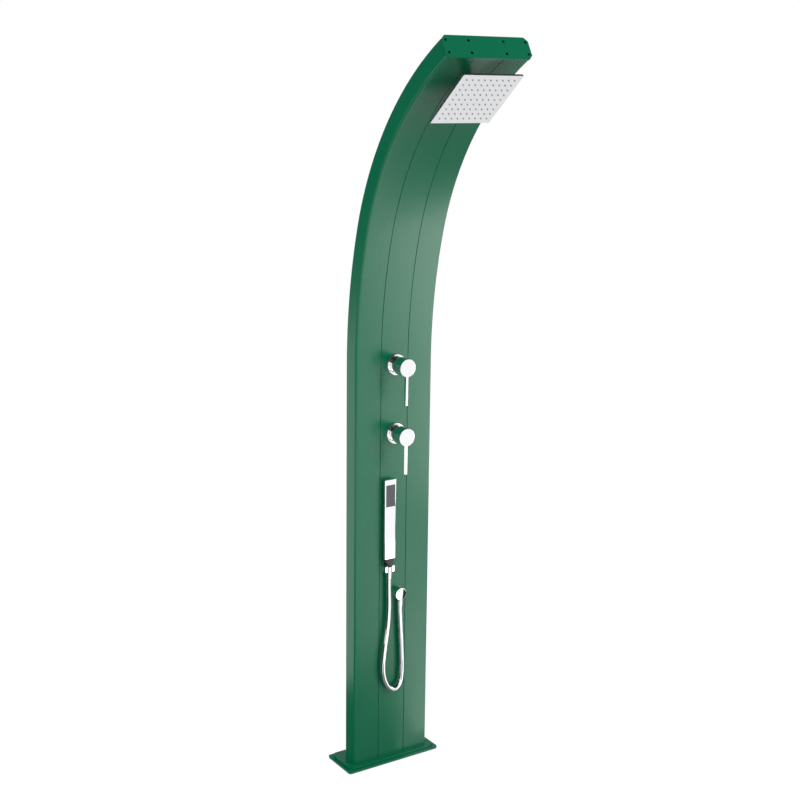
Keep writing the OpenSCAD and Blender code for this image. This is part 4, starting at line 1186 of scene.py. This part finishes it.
class SHOWER_OT_rain_head(bpy.types.Operator):
    """Makes the rain head's plates and nozzles and the collar of its arm"""
    bl_idname = "shower.rain_head"
    bl_label = "Rain head"

    def execute(self, context):
        sizes = context.scene.head_sizes
        bend = Bend(context.scene.post_sizes)
        arm = bend.on_upper(sizes.arm_angle) @ Matrix.Rotation(math.radians(90), 4, "X")
        head = arm @ Matrix.Translation((0, 0, sizes.ball_off)) @ Matrix.Rotation(
            sizes.lean, 4, "X")
        shell = dressed_copy("head_back_shell", "chrome", sizes.edge)
        plate = dressed_copy("head_face_plate", "chrome", sizes.plate_edge, segments=2)
        half = (sizes.nozzles - 1) / 2
        low = sizes.reach - sizes.plate
        seats = [
            ((i - half) * sizes.pitch, (k - half) * sizes.pitch, low)
            for i in range(sizes.nozzles) for k in range(sizes.nozzles)]
        nozzles = grown(
            "rain_nozzles", points_mesh("rain_nozzle_seats", seats, head),
            stud_tree("rain_nozzle"), {
                "Base radius": sizes.nozzle_radius, "Tip radius": sizes.nozzle_tip,
                "Length": sizes.plate + sizes.nozzle_length, "Sides": 20,
                "Turn": tuple(head.to_euler()), "Material": finish("silicone")})
        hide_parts("head_nozzle_mat")
        for piece, slot in ((shell, "chrome"), (plate, "chrome"), (nozzles, "rubber")):
            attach(piece, "rain_head")
        collar = dressed_copy("head_collar", "chrome", CRISP)
        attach(collar, "post")
        return {"FINISHED"}


class SHOWER_OT_inner_parts(bpy.types.Operator):
    """Gives the CAD parts that stay as they are their finishes"""
    bl_idname = "shower.inner_parts"
    bl_label = "Inner parts"

    def execute(self, context):
        wanted = {
            "green": "powder_coat", "chrome": "chrome", "steel": "zinc", "brass": "brass",
            "copper": "copper", "rubber": "silicone", "black": "acetal", "screw": "screw",
            "hose": "chrome",
        }
        slots = {row["node"]: row["material_slot"] for row in frame["record"]["subparts"]}
        for name, node in frame["nodes"].items():
            material = finish(wanted[slots[name]])
            if not node.material_slots:
                node.data.materials.append(material)
            for slot in node.material_slots:
                slot.material = material
        return {"FINISHED"}


# Studio

# Cards round the post that only mirrors see: place, point that it faces, width, height and
# strength. The ceiling card leans by a hair, because one that faces straight down has no side.
CARDS = (
    ("bright_card", (1.8, -1.4, 0.74), (0.2, 0.0, 0.74), 1.35, 1.1, 5.0),
    ("ceiling_card", (0.0, -0.5, 3.4), (0.0, -0.5001, 0.0), 14.0, 14.0, 0.02),
    ("rear_dark_card", (-2.2, 3.4, 2.9), (0.0, 0.0, 2.9), 12.0, 4.2, 0.02),
    ("left_dark_card", (-3.6, -0.6, 1.9), (0.0, -0.6, 1.9), 5.0, 3.2, 0.02),
    ("right_dark_card", (3.6, 0.6, 1.6), (0.0, 0.0, 1.6), 3.6, 3.0, 0.05),
)
# Heights of the sheets on the floor: one at the upper height lies over one at the lower
LOWER, UPPER = 0.004, 0.008
# Sheets on the floor that only mirrors see: outline, strength and height. Seen by the camera, the
# front's paint and chrome mirror the floor ahead and to the right, the rain head the floor at the
# far right, and the post's side face the floor at the left and behind.
SHEETS = (
    ("left_dark_sheet", [(-0.16, -0.12), (-1.65, -1.70), (-2.4, -0.14)], 0.02, LOWER),
    ("side_dark_sheet", [
        (-0.16, -0.11), (-3.0, -0.11), (-3.0, 0.7), (-0.16, 0.5)], 0.02, LOWER),
    ("right_dark_sheet", [
        (1.15, 0.9), (1.15, -1.05), (1.40, -1.5), (1.46, -1.95), (1.72, -1.95), (2.3, -1.2),
        (3.2, -0.6), (3.2, 0.9)], 0.03, LOWER),
    ("right_grey_sheet", [(1.2, -0.50), (2.3, -0.50), (2.3, 0.45), (1.2, 0.45)], 0.80, UPPER),
    ("right_bright_sheet", [
        (0.16, -0.14), (0.40, -0.14), (1.10, -1.08), (1.36, -1.55), (1.40, -1.85),
        (1.12, -1.95)], 2.8, LOWER),
    ("front_bright_sheet", [
        (-0.25, -1.1), (0.15, -1.1), (0.1, -4.5), (-1.9, -4.5)], 2.2, LOWER),
    ("outlet_flag", [
        (0.722, -1.104), (0.974, -1.486), (1.067, -1.486), (0.815, -1.104)], 0.02, UPPER),
    # A painted shadow: the post's shadow on the floor in front of it, as mirrors see it.
    ("front_shade", [
        (-0.50, -0.07), (0.04, -0.07), (0.46, -0.70), (-0.10, -1.00)], 0.25, LOWER),
)
# Lamps that mirrors don't see: place, point that it faces, width and the setting of its power
LAMPS = (
    ("key_lamp", (2.6, -3.4, 3.2), (0.0, 0.0, 1.1), 2.4, "key"),
    ("top_lamp", (-0.6, -1.6, 4.6), (0.0, 0.0, 1.0), 3.0, "top"),
    ("left_lamp", (-3.5, -0.8, 1.6), (0.0, 0.0, 1.2), 2.0, "left"),
)
# Floor: radius in metres, sides, grey of its matt part, strength of its glow, and the glow's
# share in what the camera and mirrors see
FLOOR_RADIUS, FLOOR_SIDES, FLOOR_GREY, FLOOR_GLOW, FLOOR_SHARE = 14, 96, 0.58, 1.12, 0.86
WHITE = (1.0, 1.0, 1.0, 1.0)


class SHOWER_OT_studio(bpy.types.Operator):
    """Sets up the pale floor, the soft light and the cards that metal reflects"""
    bl_idname = "shower.studio"
    bl_label = "Studio"

    def execute(self, context):
        view = context.scene.studio
        self.world(context.scene, view)
        self.floor()
        for name, at, towards, width, height, strength in CARDS:
            self.card(name, at, towards, width, height, strength)
        for name, outline, strength, height in SHEETS:
            self.glow(name, [Vector((x, y, height)) for x, y in outline], strength)
        for name, at, towards, width, power in LAMPS:
            self.lamp(name, at, towards, width, getattr(view, power))
        context.scene.view_settings.view_transform = "Standard"
        return {"FINISHED"}

    def seen(self, tree):
        """One for what the camera, mirrors and glass see, nought for the light itself."""
        ray = add_node(tree, "ShaderNodeLightPath").outputs
        first = add_node(tree, "ShaderNodeMath", {
            0: ray["Is Camera Ray"], 1: ray["Is Glossy Ray"]}, operation="MAXIMUM")
        return add_node(tree, "ShaderNodeMath", {
            0: first.outputs[0], 1: ray["Is Transmission Ray"]}, operation="MAXIMUM").outputs[0]

    def world(self, scene, view):
        world = bpy.data.worlds.new("studio_world")
        world.use_nodes = True
        tree = world.node_tree
        tree.nodes.clear()
        level = add_node(tree, "ShaderNodeMapRange", {
            "Value": self.seen(tree), "To Min": view.sky, "To Max": 1.0})
        light = add_node(tree, "ShaderNodeBackground", {
            "Color": WHITE, "Strength": level.outputs["Result"]})
        add_node(tree, "ShaderNodeOutputWorld", {"Surface": light.outputs["Background"]})
        scene.world = world

    def floor(self):
        count = FLOOR_SIDES
        points = [
            (FLOOR_RADIUS * math.cos(2 * math.pi * k / count),
             FLOOR_RADIUS * math.sin(2 * math.pi * k / count), 0.0)
            for k in range(count)]
        mesh = bpy.data.meshes.new("studio_floor")
        mesh.from_pydata(points, [], [tuple(range(count))])
        floor = new_piece("studio_floor", mesh)
        material = bpy.data.materials.new("pale_floor")
        material.use_nodes = True
        tree = material.node_tree
        tree.nodes.clear()
        # Pale matt floor: the camera sees it nearly white, and it keeps a faint shadow
        matt = add_node(tree, "ShaderNodeBsdfDiffuse", {"Color": (FLOOR_GREY,) * 3 + (1.0,)})
        white = add_node(tree, "ShaderNodeEmission", {"Color": WHITE, "Strength": FLOOR_GLOW})
        glow_part = add_node(tree, "ShaderNodeMath", {
            0: self.seen(tree), 1: FLOOR_SHARE}, operation="MULTIPLY")
        both = add_node(tree, "ShaderNodeMixShader", {
            0: glow_part.outputs[0], 1: matt.outputs["BSDF"], 2: white.outputs["Emission"]})
        add_node(tree, "ShaderNodeOutputMaterial", {"Surface": both.outputs["Shader"]})
        mesh.materials.append(material)

    def card(self, name, at, towards, width, height, strength):
        """A rectangular card that faces a point; its light shows in metal and paint."""
        ahead = (Vector(towards) - Vector(at)).normalized()
        side = ahead.cross(Vector((0, 0, 1))).normalized()
        up = side.cross(ahead)
        corners = [
            Vector(at) + side * (x * width / 2) + up * (y * height / 2)
            for x, y in ((-1, -1), (1, -1), (1, 1), (-1, 1))]
        self.glow(name, corners, strength)

    def glow(self, name, corners, strength):
        """A flat glowing face with these corners that only mirrors see."""
        mesh = bpy.data.meshes.new(name)
        mesh.from_pydata(corners, [], [tuple(range(len(corners)))])
        card = new_piece(name, mesh)
        material = bpy.data.materials.new(name)
        material.use_nodes = True
        tree = material.node_tree
        tree.nodes.clear()
        glow = add_node(tree, "ShaderNodeEmission", {"Color": WHITE, "Strength": strength})
        add_node(tree, "ShaderNodeOutputMaterial", {"Surface": glow.outputs["Emission"]})
        mesh.materials.append(material)
        card.visible_camera = False
        card.visible_diffuse = False
        card.visible_shadow = False
        card.visible_transmission = False

    def lamp(self, name, at, towards, width, power):
        light = bpy.data.lights.new(name, "AREA")
        light.shape = "DISK"
        light.size = width
        light.energy = power
        lamp = bpy.data.objects.new(name, light)
        bpy.context.scene.collection.objects.link(lamp)
        lamp.location = at
        lamp.rotation_euler = (Vector(towards) - Vector(at)).to_track_quat("-Z", "Y").to_euler()
        lamp.visible_glossy = False


# Panel and registration

class SHOWER_PT_panel(bpy.types.Panel):
    """Lists the sizes, the finishes and the pieces of the shower post"""
    bl_idname = "SHOWER_PT_panel"
    bl_label = "Shower Post"
    bl_space_type = "VIEW_3D"
    bl_region_type = "UI"
    bl_category = "Shower Post"

    def draw(self, context):
        layout = self.layout
        for operator in OPERATORS:
            layout.operator(operator.bl_idname)
        for name, group in GROUPS.items():
            box = layout.box()
            box.label(text=name.replace("_", " ").capitalize())
            values = getattr(context.scene, name)
            for field in group.__annotations__:
                box.prop(values, field)


OPERATORS = (
    SHOWER_OT_camera, SHOWER_OT_hose, SHOWER_OT_profiles, SHOWER_OT_end_cap, SHOWER_OT_foot,
    SHOWER_OT_controls, SHOWER_OT_outlet, SHOWER_OT_handset, SHOWER_OT_rain_head,
    SHOWER_OT_inner_parts, SHOWER_OT_studio,
)


def register():
    for group in GROUPS.values():
        bpy.utils.register_class(group)
    for name, group in GROUPS.items():
        setattr(bpy.types.Scene, name, bpy.props.PointerProperty(type=group))
    for operator in OPERATORS:
        bpy.utils.register_class(operator)
    bpy.utils.register_class(SHOWER_PT_panel)


def unregister():
    bpy.utils.unregister_class(SHOWER_PT_panel)
    for operator in reversed(OPERATORS):
        bpy.utils.unregister_class(operator)
    for name, group in GROUPS.items():
        delattr(bpy.types.Scene, name)
        bpy.utils.unregister_class(group)


def main():
    register()
    for operator in OPERATORS:
        family, name = operator.bl_idname.split(".")
        getattr(getattr(bpy.ops, family), name)()


if __name__ == "__main__":
    main()
